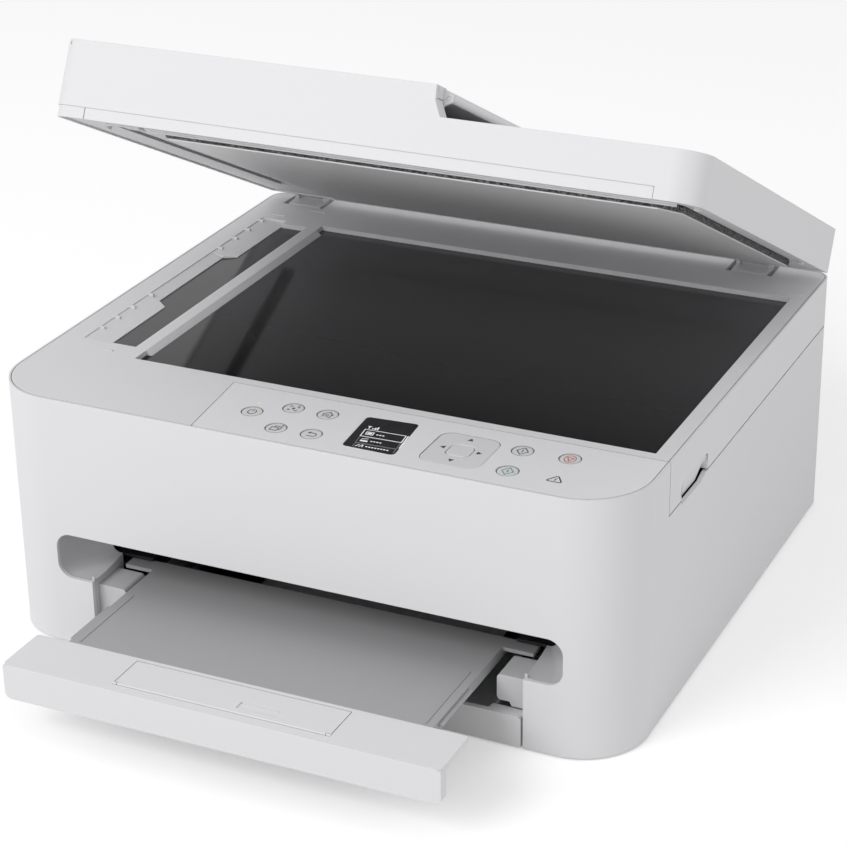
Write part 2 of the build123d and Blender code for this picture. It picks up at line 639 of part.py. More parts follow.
with BuildPart() as lid_base:
    with BuildSketch(lid_level(LIP_Z0)):
        add(lip_outer)
        add(lip_inner, mode=Mode.SUBTRACT)
        field(LIP_SEAM_X - SEAM, FAR, -FAR, FAR, mode=Mode.SUBTRACT)
        field(-168.7, -168.3, LID_FRONT, LID_FRONT + LIP_SET + 0.8, mode=Mode.SUBTRACT)
    extrude(amount=LIP_Z1 - LIP_Z0)
    with BuildSketch(lid_level(UNDER_Z)):
        add(lid_inner)
        field(-FAR, LIP_SEAM_X - SEAM, -FAR, FAR, mode=Mode.SUBTRACT)
        add(lip_inner)
        field(*SLOT, mode=Mode.SUBTRACT)
    extrude(amount=UNDER_T)
    for x0, x1 in HINGE_BLOCKS:
        arm_x0 = x0 + EAR_T + 0.4
        arm_x1 = x1 - EAR_T - 0.4
        arm_origin = LID.from_local_coords((arm_x0, 0, 0))
        with BuildSketch(Plane(origin=arm_origin, x_dir=LID.y_dir, z_dir=(1, 0, 0))):
            field(-9.0, 0.0, UNDER_Z, LIP_Z1)
            Circle(KNUCKLE_R)
            Circle(PIN_R + RUNNING_FIT, mode=Mode.SUBTRACT)
        extrude(amount=arm_x1 - arm_x0)
    with BuildSketch(lid_level(BUMPER_Z)):
        with Locations(RIB_CENTRE):
            Circle(RIB_R + 0.6)
            Circle(RIB_R - 0.6, mode=Mode.SUBTRACT)
        field(-FAR, RIB_CENTRE[0], -FAR, RIB_CENTRE[1], mode=Mode.INTERSECT)
        field(-147.0, -136.5, -278.0, -270.0)
        field(-131.4, 176.0, -281.0, -275.0)
        with Locations((183.0, -262.0), (183.0, -45.0)):
            RectangleRounded(3, 6, 1)
    extrude(amount=UNDER_Z - BUMPER_Z)
    with BuildSketch(lid_level(STRIP_LOW)):
        field(-131.4, 176.0, -276.2, -275.0)
    extrude(amount=UNDER_Z - STRIP_LOW)
lid_base.part.label = "lid_base"
export_step(lid_base.part, "parts/lid_base.step")

# Lid skin: walls all round, high at the feeder, low to the right of the slanted step, with a
# post in each left corner that carries a pivot of the feeder cover
FRAME_X0 = -94.6
BAR_Y0 = LID_FRONT + 3.0
BAR_Y1 = -274.6
SPLIT_Z = 32.3
COVER_PIVOT = (-183.5, 37.0)
PIVOT_R = 1.5
POST_X = -179.0
POST_FRONT = -276.6
POST_REAR = -10.8
SKIN_X = -BODY_W / 2

with BuildPart() as lid_shell:
    with BuildSketch(lid_level(LIP_Z0)):
        add(lid_outer)
        add(lid_inner, mode=Mode.SUBTRACT)
        field(LIP_SEAM_X, FAR, -FAR, FAR, mode=Mode.INTERSECT)
    extrude(amount=LIP_Z1 - LIP_Z0)
    with BuildSketch(lid_level(LIP_Z1)):
        add(lid_outer)
        add(lid_inner, mode=Mode.SUBTRACT)
    extrude(amount=FEEDER_Z - LIP_Z1)
    with BuildSketch(lid_level(LOW_Z - 2.2)):
        add(lid_inner)
        field(STEP_X - 7, FAR, -FAR, FAR, mode=Mode.INTERSECT)
    extrude(amount=2.2)
    for post_y0, post_y1 in ((LID_FRONT, POST_FRONT), (POST_REAR, LID_REAR)):
        with BuildSketch(lid_level(30.0)):
            add(lid_inner)
            field(-FAR, POST_X, post_y0, post_y1, mode=Mode.INTERSECT)
        extrude(amount=FEEDER_Z - 30.0)
    with BuildSketch(lid_section(BAR_Y1)):
        field(FRAME_X0, STEP_X, LOW_Z - 2.2, SPLIT_Z)
    extrude(amount=BAR_Y1 - LID_FRONT - WALL)
    with BuildSketch(lid_section(LID_REAR)):
        Polygon(
            (STEP_TOP_X, FEEDER_Z + 5), (STEP_TOP_X, FEEDER_Z), (39.4, 31.0), (STEP_X, LOW_Z),
            (FAR, LOW_Z), (FAR, FEEDER_Z + 5), align=None,
        )
    extrude(amount=LID_REAR - LID_FRONT, mode=Mode.SUBTRACT)
    with BuildSketch(lid_section(LID_REAR)):
        with BuildLine():
            RadiusArc((SKIN_X, FEEDER_Z - 5), (SKIN_X + 5, FEEDER_Z), 5)
            Polyline(
                (SKIN_X + 5, FEEDER_Z), (SKIN_X + 5, FEEDER_Z + 2), (SKIN_X - 2, FEEDER_Z + 2),
                (SKIN_X - 2, FEEDER_Z - 5), (SKIN_X, FEEDER_Z - 5),
            )
        make_face()
    extrude(amount=LID_REAR - LID_FRONT, mode=Mode.SUBTRACT)
    for bore_y, length in ((LID_FRONT + 1, 8.1), (LID_REAR - 7.2, 6.2)):
        with Locations(LID * Location((COVER_PIVOT[0], bore_y + length / 2, COVER_PIVOT[1]), (90, 0, 0))):
            Cylinder(PIVOT_R + RUNNING_FIT, length, mode=Mode.SUBTRACT)
lid_shell.part.label = "lid_shell"
export_step(lid_shell.part, "parts/lid_shell.step")

# Soft pad and its white sheet
FOAM_LOW = -7.0
SHEET_LOW = -7.8

with BuildPart() as pad_foam:
    with BuildSketch(lid_level(FOAM_LOW)) as foam_plan:
        field(-121.0, 177.0, -274.6, -48.0)
        chamfer(foam_plan.vertices().group_by(Axis.Y)[0].sort_by(Axis.X)[-1], 10.0)
    extrude(amount=UNDER_Z - FOAM_LOW)
pad_foam.part.label = "pad_foam"
export_step(pad_foam.part, "parts/pad_foam.step")

with BuildPart() as pad_sheet:
    with BuildSketch(lid_level(SHEET_LOW)) as sheet_plan:
        field(-120.0, 176.0, -273.6, -49.0)
        chamfer(sheet_plan.vertices().group_by(Axis.Y)[0].sort_by(Axis.X)[-1], 10.0)
    extrude(amount=FOAM_LOW - SHEET_LOW)
pad_sheet.part.label = "pad_sheet"
export_step(pad_sheet.part, "parts/pad_sheet.step")

# Document feeder: frame, roller, cover, folded tray and its guides, in the lid's frame
ROLL_X = -154.0
ROLL_Z = 14.0
ROLL_R = 12.0
TRAY_PIN = (42.2, 34.1)
NOTCH_X = -178.0

with BuildPart() as feeder_frame:
    with BuildSketch(lid_section(-12.0)):
        Polygon(
            (-132, UNDER_Z + UNDER_T), (-130, UNDER_Z + UNDER_T), (-124, 20.2), (34, 20.2), (34, 22.2),
            (-125.4, 22.2), align=None,
        )
    extrude(amount=260.0)
    for y in (-271.0, -43.0):
        with BuildSketch(lid_section(y)) as end_plate:
            under_top = UNDER_Z + UNDER_T
            Polygon((-172, under_top), (-125, under_top), (-120, 22.2), (-168, 22.2), align=None)
            with Locations((ROLL_X, ROLL_Z)):
                Circle(SHAFT_R + RUNNING_FIT, mode=Mode.SUBTRACT)
        extrude(amount=2.0)
feeder_frame.part.label = "feeder_frame"
export_step(feeder_frame.part, "parts/feeder_frame.step")

with BuildPart() as document_roller:
    with BuildSketch(lid_section(-40.0)):
        with Locations((ROLL_X, ROLL_Z)):
            Circle(SHAFT_R)
    extrude(amount=236.0)
    for y in (-60.0, -110.0, -160.0, -210.0):
        with BuildSketch(lid_section(y)):
            with Locations((ROLL_X, ROLL_Z)):
                Circle(ROLL_R)
                Circle(SHAFT_R, mode=Mode.SUBTRACT)
        extrude(amount=36.0)
document_roller.part.label = "document_roller"
export_step(document_roller.part, "parts/document_roller.step")

with BuildPart() as feeder_cover:
    with BuildSketch(lid_section(-17.0)):
        Polygon(
            (-185.9, 37.2), (-185.9, 39.1), (-184.6, FEEDER_Z), (-92.4, FEEDER_Z), (-92.4, 26.0), (34, 26.0),
            (34, 23.8), (FRAME_X0, 23.8), (FRAME_X0, 37.2), align=None,
        )
    extrude(amount=257.0)
    for y, length in ((-7.0, 10.0), (-272.0, 9.6)):
        with BuildSketch(lid_section(y)):
            Polygon(
                (-185.9, 37.2), (-185.9, 39.1), (-184.6, FEEDER_Z), (STEP_TOP_X, FEEDER_Z),
                (STEP_TOP_X, SPLIT_Z + 0.5), (-92.4, SPLIT_Z + 0.5), (-92.4, 37.2), align=None,
            )
        extrude(amount=length)
    for y in (-14.8, -272.0):
        with BuildSketch(lid_section(y)):
            Polygon(
                (FRAME_X0, 23.8), (34, 23.8), (40, 30.2), (44.6, 32.5), (44.6, 36), (38, FEEDER_Z),
                (FRAME_X0, FEEDER_Z), align=None,
            )
            with Locations(TRAY_PIN):
                Circle(1.2 + RUNNING_FIT, mode=Mode.SUBTRACT)
        extrude(amount=2.2)
    with BuildSketch(lid_level(0)):
        add(cover_plan)
        field(STEP_X - 20, FAR, -281.6, -7.0)
    extrude(amount=FAR, mode=Mode.INTERSECT)
    with BuildSketch(lid_level(30.0)):
        field(-FAR, NOTCH_X, -FAR, POST_FRONT + SEAM)
        field(-FAR, NOTCH_X, POST_REAR - SEAM, 0)
    extrude(amount=20.0, mode=Mode.SUBTRACT)
    for pin_y, length in ((LID_FRONT + 2.1, 12.0), (LID_REAR - 11.0, 9.4)):
        with Locations(LID * Location((COVER_PIVOT[0], pin_y + length / 2, COVER_PIVOT[1]), (90, 0, 0))):
            Cylinder(PIVOT_R, length)
feeder_cover.part.label = "feeder_cover"
export_step(feeder_cover.part, "parts/feeder_cover.step")

with BuildPart() as document_tray:
    with BuildSketch(lid_section(-17.5)):
        with BuildLine():
            Polyline(
                (42.2, 35.8), (38.2, 39.1), (-91.9, 39.1), (-91.9, 36.9), (37.2, 36.9), (41.0, 33.0),
                (42.2, 32.5), close=True,
            )
        make_face()
        with Locations(TRAY_PIN):
            Circle(1.7)
    extrude(amount=254.0)
    with BuildSketch(lid_section(-14.9)):
        with Locations(TRAY_PIN):
            Circle(1.2)
    extrude(amount=259.2)
document_tray.part.label = "document_tray"
export_step(document_tray.part, "parts/document_tray.step")

for guide_name, guide_y, turn in (("document_guide_front", -264.5, 1), ("document_guide_rear", -48.5, -1)):
    with BuildPart(LID) as document_guide:
        fence = sorted((guide_y, guide_y - 2 * turn))
        flange = sorted((guide_y, guide_y + 14 * turn))
        block(-62, 18, fence[0], fence[1], 27.6, 36.6)
        block(-62, 18, flange[0], flange[1], 35.4, 36.6)
    document_guide.part.label = guide_name
    export_step(document_guide.part, f"parts/{guide_name}.step")

# Output tray: grey deck on two rails
with BuildPart() as output_tray:
    with BuildSketch(Plane.XY.offset(TRAY_Z0)):
        field(PATH_X - TRAY_HALF, PATH_X + TRAY_HALF, PLATE_REAR, TRAY_REAR)
        for side in (-1, 1):
            lug = sorted((PATH_X + side * (TRAY_HALF - 1), PATH_X + side * 125.0))
            field(lug[0], lug[1], TRAY_REAR - 10, TRAY_REAR)
    extrude(amount=TRAY_Z1 - TRAY_Z0)
    for side in (-1, 1):
        wall = sorted((PATH_X + side * TRAY_HALF, PATH_X + side * (TRAY_HALF - 1.6)))
        block(wall[0], wall[1], PLATE_REAR, TRAY_REAR, 36.0, TRAY_Z0)
        edge = sorted((PATH_X + side * (TRAY_HALF - 1), PATH_X + side * (TRAY_HALF + 2.7)))
        line = sorted((PATH_X + side * (TRAY_HALF - 6), PATH_X + side * (TRAY_HALF - 4.8)))
        block(edge[0], edge[1], -228, -190, TRAY_Z0, TRAY_Z0 + 0.8)
        block(line[0], line[1], PLATE_REAR + 2, -177, TRAY_Z1 - 1, TRAY_Z1 + 0.4)
    for x in (-60.0, -20.0, 20.0, 60.0):
        block(PATH_X + x - 0.7, PATH_X + x + 0.7, PLATE_REAR, TRAY_REAR - 4, 37.2, TRAY_Z0)
output_tray.part.label = "output_tray"
export_step(output_tray.part, "parts/output_tray.step")

# White front of the tray, with the window of the paper stop
STOP = (-60.0, 66.0)
STOP_Y0 = -261.0
STOP_Y1 = -237.0
STOP_PIN = (STOP_Y0, 42.0)
STOP_PIN_R = 0.9

with BuildPart() as tray_front:
    with BuildSketch(Plane.XY.offset(TRAY_Z0)) as front_plate:
        field(PATH_X - PLATE_HALF, PATH_X + PLATE_HALF, TRAY_FRONT, PLATE_REAR)
        fillet(front_plate.vertices().group_by(Axis.Y)[0], 3.0)
        fillet(front_plate.vertices().group_by(Axis.Y)[-1], 1.5)
    extrude(amount=TRAY_Z1 - TRAY_Z0)
    with BuildSketch(Plane.XZ.offset(-TRAY_FRONT - LIP_T)) as lip_face:
        field(PATH_X - PLATE_HALF, PATH_X + PLATE_HALF, LIP_LOW, TRAY_Z1 - 1)
        fillet(lip_face.vertices().group_by(Axis.Y)[0], 4.0)
    extrude(amount=LIP_T)
    with BuildSketch(Plane.XZ.offset(-TRAY_FRONT - LIP_T)):
        field(PATH_X - PLATE_HALF + 2, PATH_X + PLATE_HALF - 2, LIP_LOW + 2, TRAY_Z0)
    extrude(amount=LIP_T - 2.2, mode=Mode.SUBTRACT)
    window_y = (STOP_Y0 - 1.3, STOP_Y1 + SEAM)
    block(STOP[0] - SEAM, STOP[1] + SEAM, *window_y, TRAY_Z0, TRAY_Z1, mode=Mode.SUBTRACT)
    for x in (-100.0, -76.0, 76.0, 100.0):
        with BuildSketch(side_plane(PATH_X + x)):
            Polygon(
                (TRAY_FRONT + 2, 26), (TRAY_FRONT + 2, TRAY_Z0), (PLATE_REAR, TRAY_Z0), (PLATE_REAR, 37.2),
                align=None,
            )
        extrude(amount=1.6)
    block(PATH_X - 104, PATH_X + 104, PLATE_REAR - 2, PLATE_REAR, 37.2, TRAY_Z0)
    rod(STOP_PIN_R, STOP[0] - SEAM, STOP[0] + 2, *STOP_PIN)
    rod(STOP_PIN_R, STOP[1] - 2, STOP[1] + SEAM, *STOP_PIN)
tray_front.part.label = "tray_front"
export_step(tray_front.part, "parts/tray_front.step")

with BuildPart() as paper_stop:
    block(STOP[0], STOP[1], STOP_Y0, STOP_Y1, TRAY_Z1 - 1.8, TRAY_Z1)
    for x0, x1 in ((STOP[0] - 1, STOP[0] + 2.3), (STOP[1] - 2.3, STOP[1] + 1)):
        block(x0, x1, STOP_Y0 - 1, STOP_Y0 + 1.4, 40, 43, mode=Mode.SUBTRACT)
    rod(STOP_PIN_R, STOP[0] + 2.3, STOP[1] - 2.3, *STOP_PIN)
    block(10, 33, STOP_Y0 + 4, STOP_Y0 + 10, TRAY_Z1 - 0.7, TRAY_Z1 + 1, mode=Mode.SUBTRACT)
paper_stop.part.label = "paper_stop"
export_step(paper_stop.part, "parts/paper_stop.step")

# Paper cassette with its well, and the three guides inside it
WELL_HALF = 110.0
CASSETTE_REAR = 150.0

with BuildPart() as cassette:
    with BuildSketch(Plane.XY.offset(CASSETTE_FLOOR)):
        field(PATH_X - CASSETTE_HALF, PATH_X + CASSETTE_HALF, FRONT_Y + 3, CASSETTE_REAR)
    extrude(amount=1.6)
    for side in (-1, 1):
        outer = sorted((PATH_X + side * CASSETTE_HALF, PATH_X + side * (CASSETTE_HALF - 1.8)))
        inner = sorted((PATH_X + side * WELL_HALF, PATH_X + side * (WELL_HALF + 1.6)))
        corner = sorted((PATH_X + side * WELL_HALF, PATH_X + side * CASSETTE_HALF))
        block(outer[0], outer[1], FRONT_Y + 3, CASSETTE_REAR, CASSETTE_FLOOR, CASSETTE_TOP)
        block(inner[0], inner[1], FRONT_Y + 3, CASSETTE_REAR, CASSETTE_FLOOR, 17.6)
        block(corner[0], corner[1], FRONT_Y + 3, FRONT_Y + 7.5, 17.6, CASSETTE_TOP)
    with BuildSketch(side_plane(PATH_X - CASSETTE_HALF)):
        Polygon(
            (CASSETTE_REAR, CASSETTE_FLOOR), (CASSETTE_REAR, CASSETTE_TOP), (CASSETTE_REAR - 2, CASSETTE_TOP),
            (CASSETTE_REAR - 7, CASSETTE_FLOOR), align=None,
        )
    extrude(amount=2 * CASSETTE_HALF)
    with BuildSketch(Plane.XZ.offset(-FRONT_Y)) as cassette_face:
        field(PATH_X - CASSETTE_HALF, PATH_X + CASSETTE_HALF, SKIRT_Z, CASSETTE_TOP - 0.1)
        fillet(cassette_face.vertices().group_by(Axis.Y)[-1], 3.0)
    extrude(amount=-3.0)
    with BuildSketch(Plane.XZ.offset(-FRONT_Y)) as finger_hollow:
        with Locations((PATH_X, SKIRT_Z)):
            RectangleRounded(90, 14, 5)
    extrude(amount=-1.4, mode=Mode.SUBTRACT)
cassette.part.label = "cassette"
export_step(cassette.part, "parts/cassette.step")

GUIDE_Z0 = CASSETTE_FLOOR + 1.9
for guide_name, side in (("width_guide_left", -1), ("width_guide_right", 1)):
    with BuildPart() as width_guide:
        fence = sorted((PATH_X + side * 105.0, PATH_X + side * 106.6))
        foot_plate = sorted((PATH_X + side * 105.0, PATH_X + side * 78.0))
        block(fence[0], fence[1], -120, -20, GUIDE_Z0, 18.4)
        block(foot_plate[0], foot_plate[1], -84, -56, GUIDE_Z0, GUIDE_Z0 + 1.4)
        block(fence[0], fence[1], -90, -50, 16.8, 18.4)
    width_guide.part.label = guide_name
    export_step(width_guide.part, f"parts/{guide_name}.step")

with BuildPart() as end_guide:
    with BuildSketch(side_plane(PATH_X - 22)):
        Polygon(
            (92, GUIDE_Z0), (129, GUIDE_Z0), (129, 18.4), (127, 18.4), (126, GUIDE_Z0 + 1.4),
            (92, GUIDE_Z0 + 1.4), align=None,
        )
    extrude(amount=44)
end_guide.part.label = "end_guide"
export_step(end_guide.part, "parts/end_guide.step")

# Print frame: two side plates joined by a cross plate behind the carriage rail
FRAME_L = -168.0
FRAME_R = 176.0
SHEET = 1.5
SHAFTS = ((FEED_Y, ROLLER_Z), (EJECT_Y, ROLLER_Z))

with BuildPart() as print_frame:
    for plate_x in (FRAME_L, FRAME_R):
        with BuildSketch(side_plane(plate_x)) as side_plate:
            with BuildLine():
                Polyline(
                    (-98, PAN_TOP), (-70, PAN_TOP), (-60, 14), (40, 14), (50, PAN_TOP), (70, PAN_TOP),
                    (70, 104), (16, 112), (-24, 112), (-98, 70), close=True,
                )
            make_face()
            with Locations(*SHAFTS):
                Circle(SHAFT_R + RUNNING_FIT, mode=Mode.SUBTRACT)
            with Locations((42, 70)):
                RectangleRounded(30, 34, 4, mode=Mode.SUBTRACT)
        extrude(amount=SHEET)
    block(FRAME_L, FRAME_R + SHEET, 70 - SHEET, 70, 60, 104)
    rod(2.5, FRAME_L - 8.5, FRAME_L, IDLE_Y, ROLLER_Z)
print_frame.part.label = "print_frame"
export_step(print_frame.part, "parts/print_frame.step")

# Carriage rail, a bent channel with an upturned lip
with BuildPart() as carriage_rail:
    with BuildSketch(side_plane(FRAME_L + SHEET)):
        with BuildLine():
            Polyline(
                (7.5, 80), (7.5, 104), (-6.5, 104), (-6.5, 110), (-8, 110), (-8, 102.5), (6, 102.5),
                (6, 81.5), (-8, 81.5), (-8, 80), close=True,
            )
        make_face()
    extrude(amount=FRAME_R - FRAME_L - SHEET)
carriage_rail.part.label = "carriage_rail"
export_step(carriage_rail.part, "parts/carriage_rail.step")

# Carriage: a holder with two bays, hooked over the rail's lip
HEAD_X = 143.0
with BuildPart() as carriage:
    with BuildSketch(Plane.XY.offset(60.0)):
        field(HEAD_X - 30, HEAD_X + 30, -62, -8.4)
    extrude(amount=38.0)
    with BuildSketch(Plane.XY.offset(62.0)):
        field(HEAD_X - 28, HEAD_X - 1, -60, -12)
        field(HEAD_X + 1, HEAD_X + 28, -60, -12)
    extrude(amount=40.0, mode=Mode.SUBTRACT)
    block(HEAD_X - 24, HEAD_X + 24, -48, -20, 57.0, 60.0)
    with BuildSketch(side_plane(HEAD_X - 22)):
        Polygon(
            (-11, 90), (-8.4, 90), (-8.4, 110.4), (-6.1, 110.4), (-6.1, 105.5), (-4.2, 105.5), (-4.2, 112.4),
            (-11, 112.4), align=None,
        )
    extrude(amount=44)
carriage.part.label = "carriage"
export_step(carriage.part, "parts/carriage.step")

for tank_name, tank_x in (("ink_tank_black", HEAD_X - 14.5), ("ink_tank_colour", HEAD_X + 14.5)):
    with BuildPart() as ink_tank:
        with BuildSketch(side_plane(tank_x - 13)) as tank_side:
            Polygon((-59.6, 62), (-12.4, 62), (-12.4, 96), (-20, 101), (-52, 101), (-59.6, 96), align=None)
            fillet(tank_side.vertices(), 1.5)
        extrude(amount=26)
    ink_tank.part.label = tank_name
    export_step(ink_tank.part, f"parts/{tank_name}.step")

# Platen: a plate lying on the channel walls, with ribs that carry the sheet
with BuildPart() as platen:
    with BuildSketch(Plane.XY.offset(44.4)):
        field(PATH_X - 116, PATH_X + 116, -63, 2)
        field(PATH_X - CHANNEL_HALF - WALL, PATH_X + CHANNEL_HALF + WALL, -50, -16)
    extrude(amount=2.6)
    for step in range(13):
        rib_x = PATH_X - 108 + 18 * step
        with BuildSketch(side_plane(rib_x - 0.8)):
            Polygon(
                (-63, 46), (2, 46), (2, 53), (-3, PAPER_Z - 0.4), (-58, PAPER_Z - 0.4), (-63, 53),
                align=None,
            )
        extrude(amount=1.6)
platen.part.label = "platen"
export_step(platen.part, "parts/platen.step")

# Paper turn guide: a half drum that leads the sheet up and forward, then a flat deck
TURN_Y = 140.0
TURN_Z = 37.5
TURN_R = 17.2
with BuildPart() as paper_deck:
    with BuildSketch(side_plane(PATH_X - CHANNEL_HALF)) as turn_profile:
        with BuildLine():
            top = Line((20, TURN_Z + TURN_R), (TURN_Y, TURN_Z + TURN_R))
            outside = CenterArc((TURN_Y, TURN_Z), TURN_R, 90, -160)
            inside = CenterArc((TURN_Y, TURN_Z), TURN_R - 2, -70, 160)
            Line(outside @ 1, inside @ 0)
            back = Line(inside @ 1, (20, TURN_Z + TURN_R - 2))
            Line(back @ 1, top @ 0)
        make_face()
    extrude(amount=2 * CHANNEL_HALF)
paper_deck.part.label = "paper_deck"
export_step(paper_deck.part, "parts/paper_deck.step")

# Gear train on the outer side of the left plate
PRESSURE = radians(20)
GEAR_MODULE = 2.0
BACKLASH = 0.25
GEAR_X0 = FRAME_L - 8.0
GEAR_X1 = FRAME_L - 2.0


def involute(angle):
    """The involute function of a pressure angle."""
    return tan(angle) - angle


def gear_points(teeth, first_angle):
    """Outline of a spur gear with involute flanks; a tooth is centred on first_angle."""
    pitch_r = GEAR_MODULE * teeth / 2
    base_r = pitch_r * cos(PRESSURE)
    root_r = pitch_r - 1.25 * GEAR_MODULE
    radii = (root_r, base_r, pitch_r, pitch_r + 0.55 * GEAR_MODULE, pitch_r + GEAR_MODULE)
    half_pitch = pi / (2 * teeth) - BACKLASH / (2 * pitch_r)
    flank = []
    for radius in radii:
        roll = acos(min(1.0, base_r / radius))
        flank.append((radius, half_pitch + involute(PRESSURE) - involute(roll)))
    points = []
    for tooth in range(teeth):
        centre = first_angle + 2 * pi * tooth / teeth
        for radius, half in flank:
            points.append((radius * cos(centre - half), radius * sin(centre - half)))
        for radius, half in reversed(flank):
            points.append((radius * cos(centre + half), radius * sin(centre + half)))
    return points


def gear(teeth, first_angle, y, bore):
    """The face of a spur gear at the roller shafts' height, facing along X."""
    with BuildSketch(Plane(origin=(GEAR_X0, y, ROLLER_Z), x_dir=(0, 1, 0), z_dir=(1, 0, 0))) as face:
        Polygon(*gear_points(teeth, first_angle), align=None)
        Circle(bore, mode=Mode.SUBTRACT)
    return face.sketch


def sleeves(y, half_width, count):
    """Rubber sleeves spaced along a shaft."""
    pitch = 2 * 104.0 / (count - 1)
    for step in range(count):
        centre = PATH_X - 104.0 + pitch * step
        rod(ROLLER_R, centre - half_width, centre + half_width, y, ROLLER_Z)


with BuildPart() as feed_roller:
    extrude(gear(16, pi, FEED_Y, SHAFT_R - 1), amount=GEAR_X1 - GEAR_X0)
    rod(SHAFT_R, FRAME_L - 8.5, FRAME_R + SHEET + 2, FEED_Y, ROLLER_Z)
    sleeves(FEED_Y, 14.0, 6)
feed_roller.part.label = "feed_roller"
export_step(feed_roller.part, "parts/feed_roller.step")

with BuildPart() as eject_roller:
    extrude(gear(16, pi / 16, EJECT_Y, SHAFT_R - 1), amount=GEAR_X1 - GEAR_X0)
    rod(SHAFT_R, FRAME_L - 8.5, FRAME_R + SHEET + 2, EJECT_Y, ROLLER_Z)
    sleeves(EJECT_Y, 7.0, 8)
eject_roller.part.label = "eject_roller"
export_step(eject_roller.part, "parts/eject_roller.step")

with BuildPart() as idle_gear:
    extrude(gear(25, pi, IDLE_Y, 2.5 + RUNNING_FIT), amount=GEAR_X1 - GEAR_X0)
idle_gear.part.label = "idle_gear"
export_step(idle_gear.part, "parts/idle_gear.step")

# Pickup arm on its long pivot shaft, with the roller that takes a sheet from the cassette
PICK_Y = 92.0
PICK_Z = 30.2
with BuildPart() as pickup_arm:
    rod(2.5, PATH_X - CHANNEL_HALF - 3, PATH_X + CHANNEL_HALF + 3, *PICKUP_PIVOT)
    for arm_x in (-13.0, 16.0):
        with BuildSketch(side_plane(arm_x)):
            with Locations((PICK_Y, PICK_Z), PICKUP_PIVOT):
                Circle(4.5)
            make_hull()
            with Locations((PICK_Y, PICK_Z)):
                Circle(2.0 + RUNNING_FIT, mode=Mode.SUBTRACT)
        extrude(amount=3.0)
pickup_arm.part.label = "pickup_arm"
export_step(pickup_arm.part, "parts/pickup_arm.step")

with BuildPart() as pickup_roller:
    rod(9.2, -9, 15, PICK_Y, PICK_Z)
    rod(2.0, -13, 19, PICK_Y, PICK_Z)
pickup_roller.part.label = "pickup_roller"
export_step(pickup_roller.part, "parts/pickup_roller.step")

# Purge unit under the parked carriage, with two rubber caps and a wiper
with BuildPart() as purge_unit:
    with BuildSketch(Plane.XY.offset(PAN_TOP)):
        field(142, 174, -62, -16)
    extrude(amount=40.0)
    with BuildSketch(Plane.XY.offset(PAN_TOP + 40)):
        with Locations((150, -36), (166, -36)):
            RectangleRounded(12, 26, 2)
            RectangleRounded(8, 22, 1.5, mode=Mode.SUBTRACT)
        field(144, 172, -60, -58.8)
    extrude(amount=12.6)
purge_unit.part.label = "purge_unit"
export_step(purge_unit.part, "parts/purge_unit.step")

# Power supply, main board and the two sockets at the back
with BuildPart() as power_supply:
    with BuildSketch(Plane.XY.offset(PAN_TOP)):
        with Locations((-158, 114)):
            RectangleRounded(44, 72, 2)
    extrude(amount=44.0)
    for step in range(7):
        block(-181, -135, 85 + 9 * step, 88 + 9 * step, 34, 48, mode=Mode.SUBTRACT)
power_supply.part.label = "power_supply"
export_step(power_supply.part, "parts/power_supply.step")

with BuildPart() as main_board:
    with BuildSketch(side_plane(181.0)):
        field(-10, 158, 15, 105)
    extrude(amount=1.6)
    for y, z, size in ((30.0, 60.0, 22.0), (70.0, 70.0, 14.0), (100.0, 40.0, 18.0)):
        block(179.6, 181, y - size / 2, y + size / 2, z - size / 2, z + size / 2)
main_board.part.label = "main_board"
export_step(main_board.part, "parts/main_board.step")

with BuildPart() as power_inlet:
    block(INLET[0], INLET[1], 150, REAR_Y - 0.3, INLET[2], INLET[3])
    with BuildSketch(Plane.XZ.offset(-REAR_Y)) as inlet_mouth:
        with Locations(((INLET[0] + INLET[1]) / 2, (INLET[2] + INLET[3]) / 2)):
            RectangleRounded(16.4, 9.0, 4.4)
    extrude(amount=13.0, mode=Mode.SUBTRACT)
    for x in (-4.3, 4.3):
        with Locations(((INLET[0] + INLET[1]) / 2 + x, 162.5, (INLET[2] + INLET[3]) / 2)):
            Cylinder(1.2, 8.0, rotation=(90, 0, 0))
power_inlet.part.label = "power_inlet"
export_step(power_inlet.part, "parts/power_inlet.step")

with BuildPart() as usb_port:
    block(USB[0], USB[1], 156, REAR_Y - 0.3, USB[2], USB[3])
    block(USB[0] + 1.2, USB[1] - 1.2, 159, REAR_Y, USB[2] + 1.2, USB[3] - 1.2, mode=Mode.SUBTRACT)
    block(USB[0] + 3.6, USB[1] - 3.6, 158, 166, USB[2] + 5.2, USB[3] - 5.2)
    block(USB[1], 181, 156, 158, USB[2], USB[3])
usb_port.part.label = "usb_port"
export_step(usb_port.part, "parts/usb_port.step")

# Rear cover, hinged along its lower edge, with ribs that turn the sheet
with BuildPart() as rear_cover:
    with BuildSketch(side_plane(PATH_X - COVER_HALF)) as cover_section:
        field(REAR_Y - WALL, REAR_Y, COVER_Z0, COVER_Z1)
        fillet(cover_section.vertices().group_by(Axis.X)[-1].sort_by(Axis.Y)[0], 1.8)
    extrude(amount=2 * COVER_HALF)
    rod(COVER_PIN_R, PATH_X - COVER_HALF - 2.4, PATH_X + COVER_HALF + 2.4, *COVER_PIN)
    for step in range(9):
        rib_x = PATH_X - 88 + 22 * step
        with BuildSketch(side_plane(rib_x - 0.8)):
            Polygon(
                (REAR_Y - WALL, 46), (163, 50), (161.5, 56), (158, 62), (150, 68), (150, 71),
                (REAR_Y - WALL, 76), align=None,
            )
        extrude(amount=1.6)
rear_cover.part.label = "rear_cover"
export_step(rear_cover.part, "parts/rear_cover.step")
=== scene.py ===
"""Looks of the desktop multifunction printer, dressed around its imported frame."""

import logging
import math
from dataclasses import dataclass, field
from enum import Enum
from typing import Callable, Sequence

import bpy
import numpy as np
from mathutils import Matrix, Vector


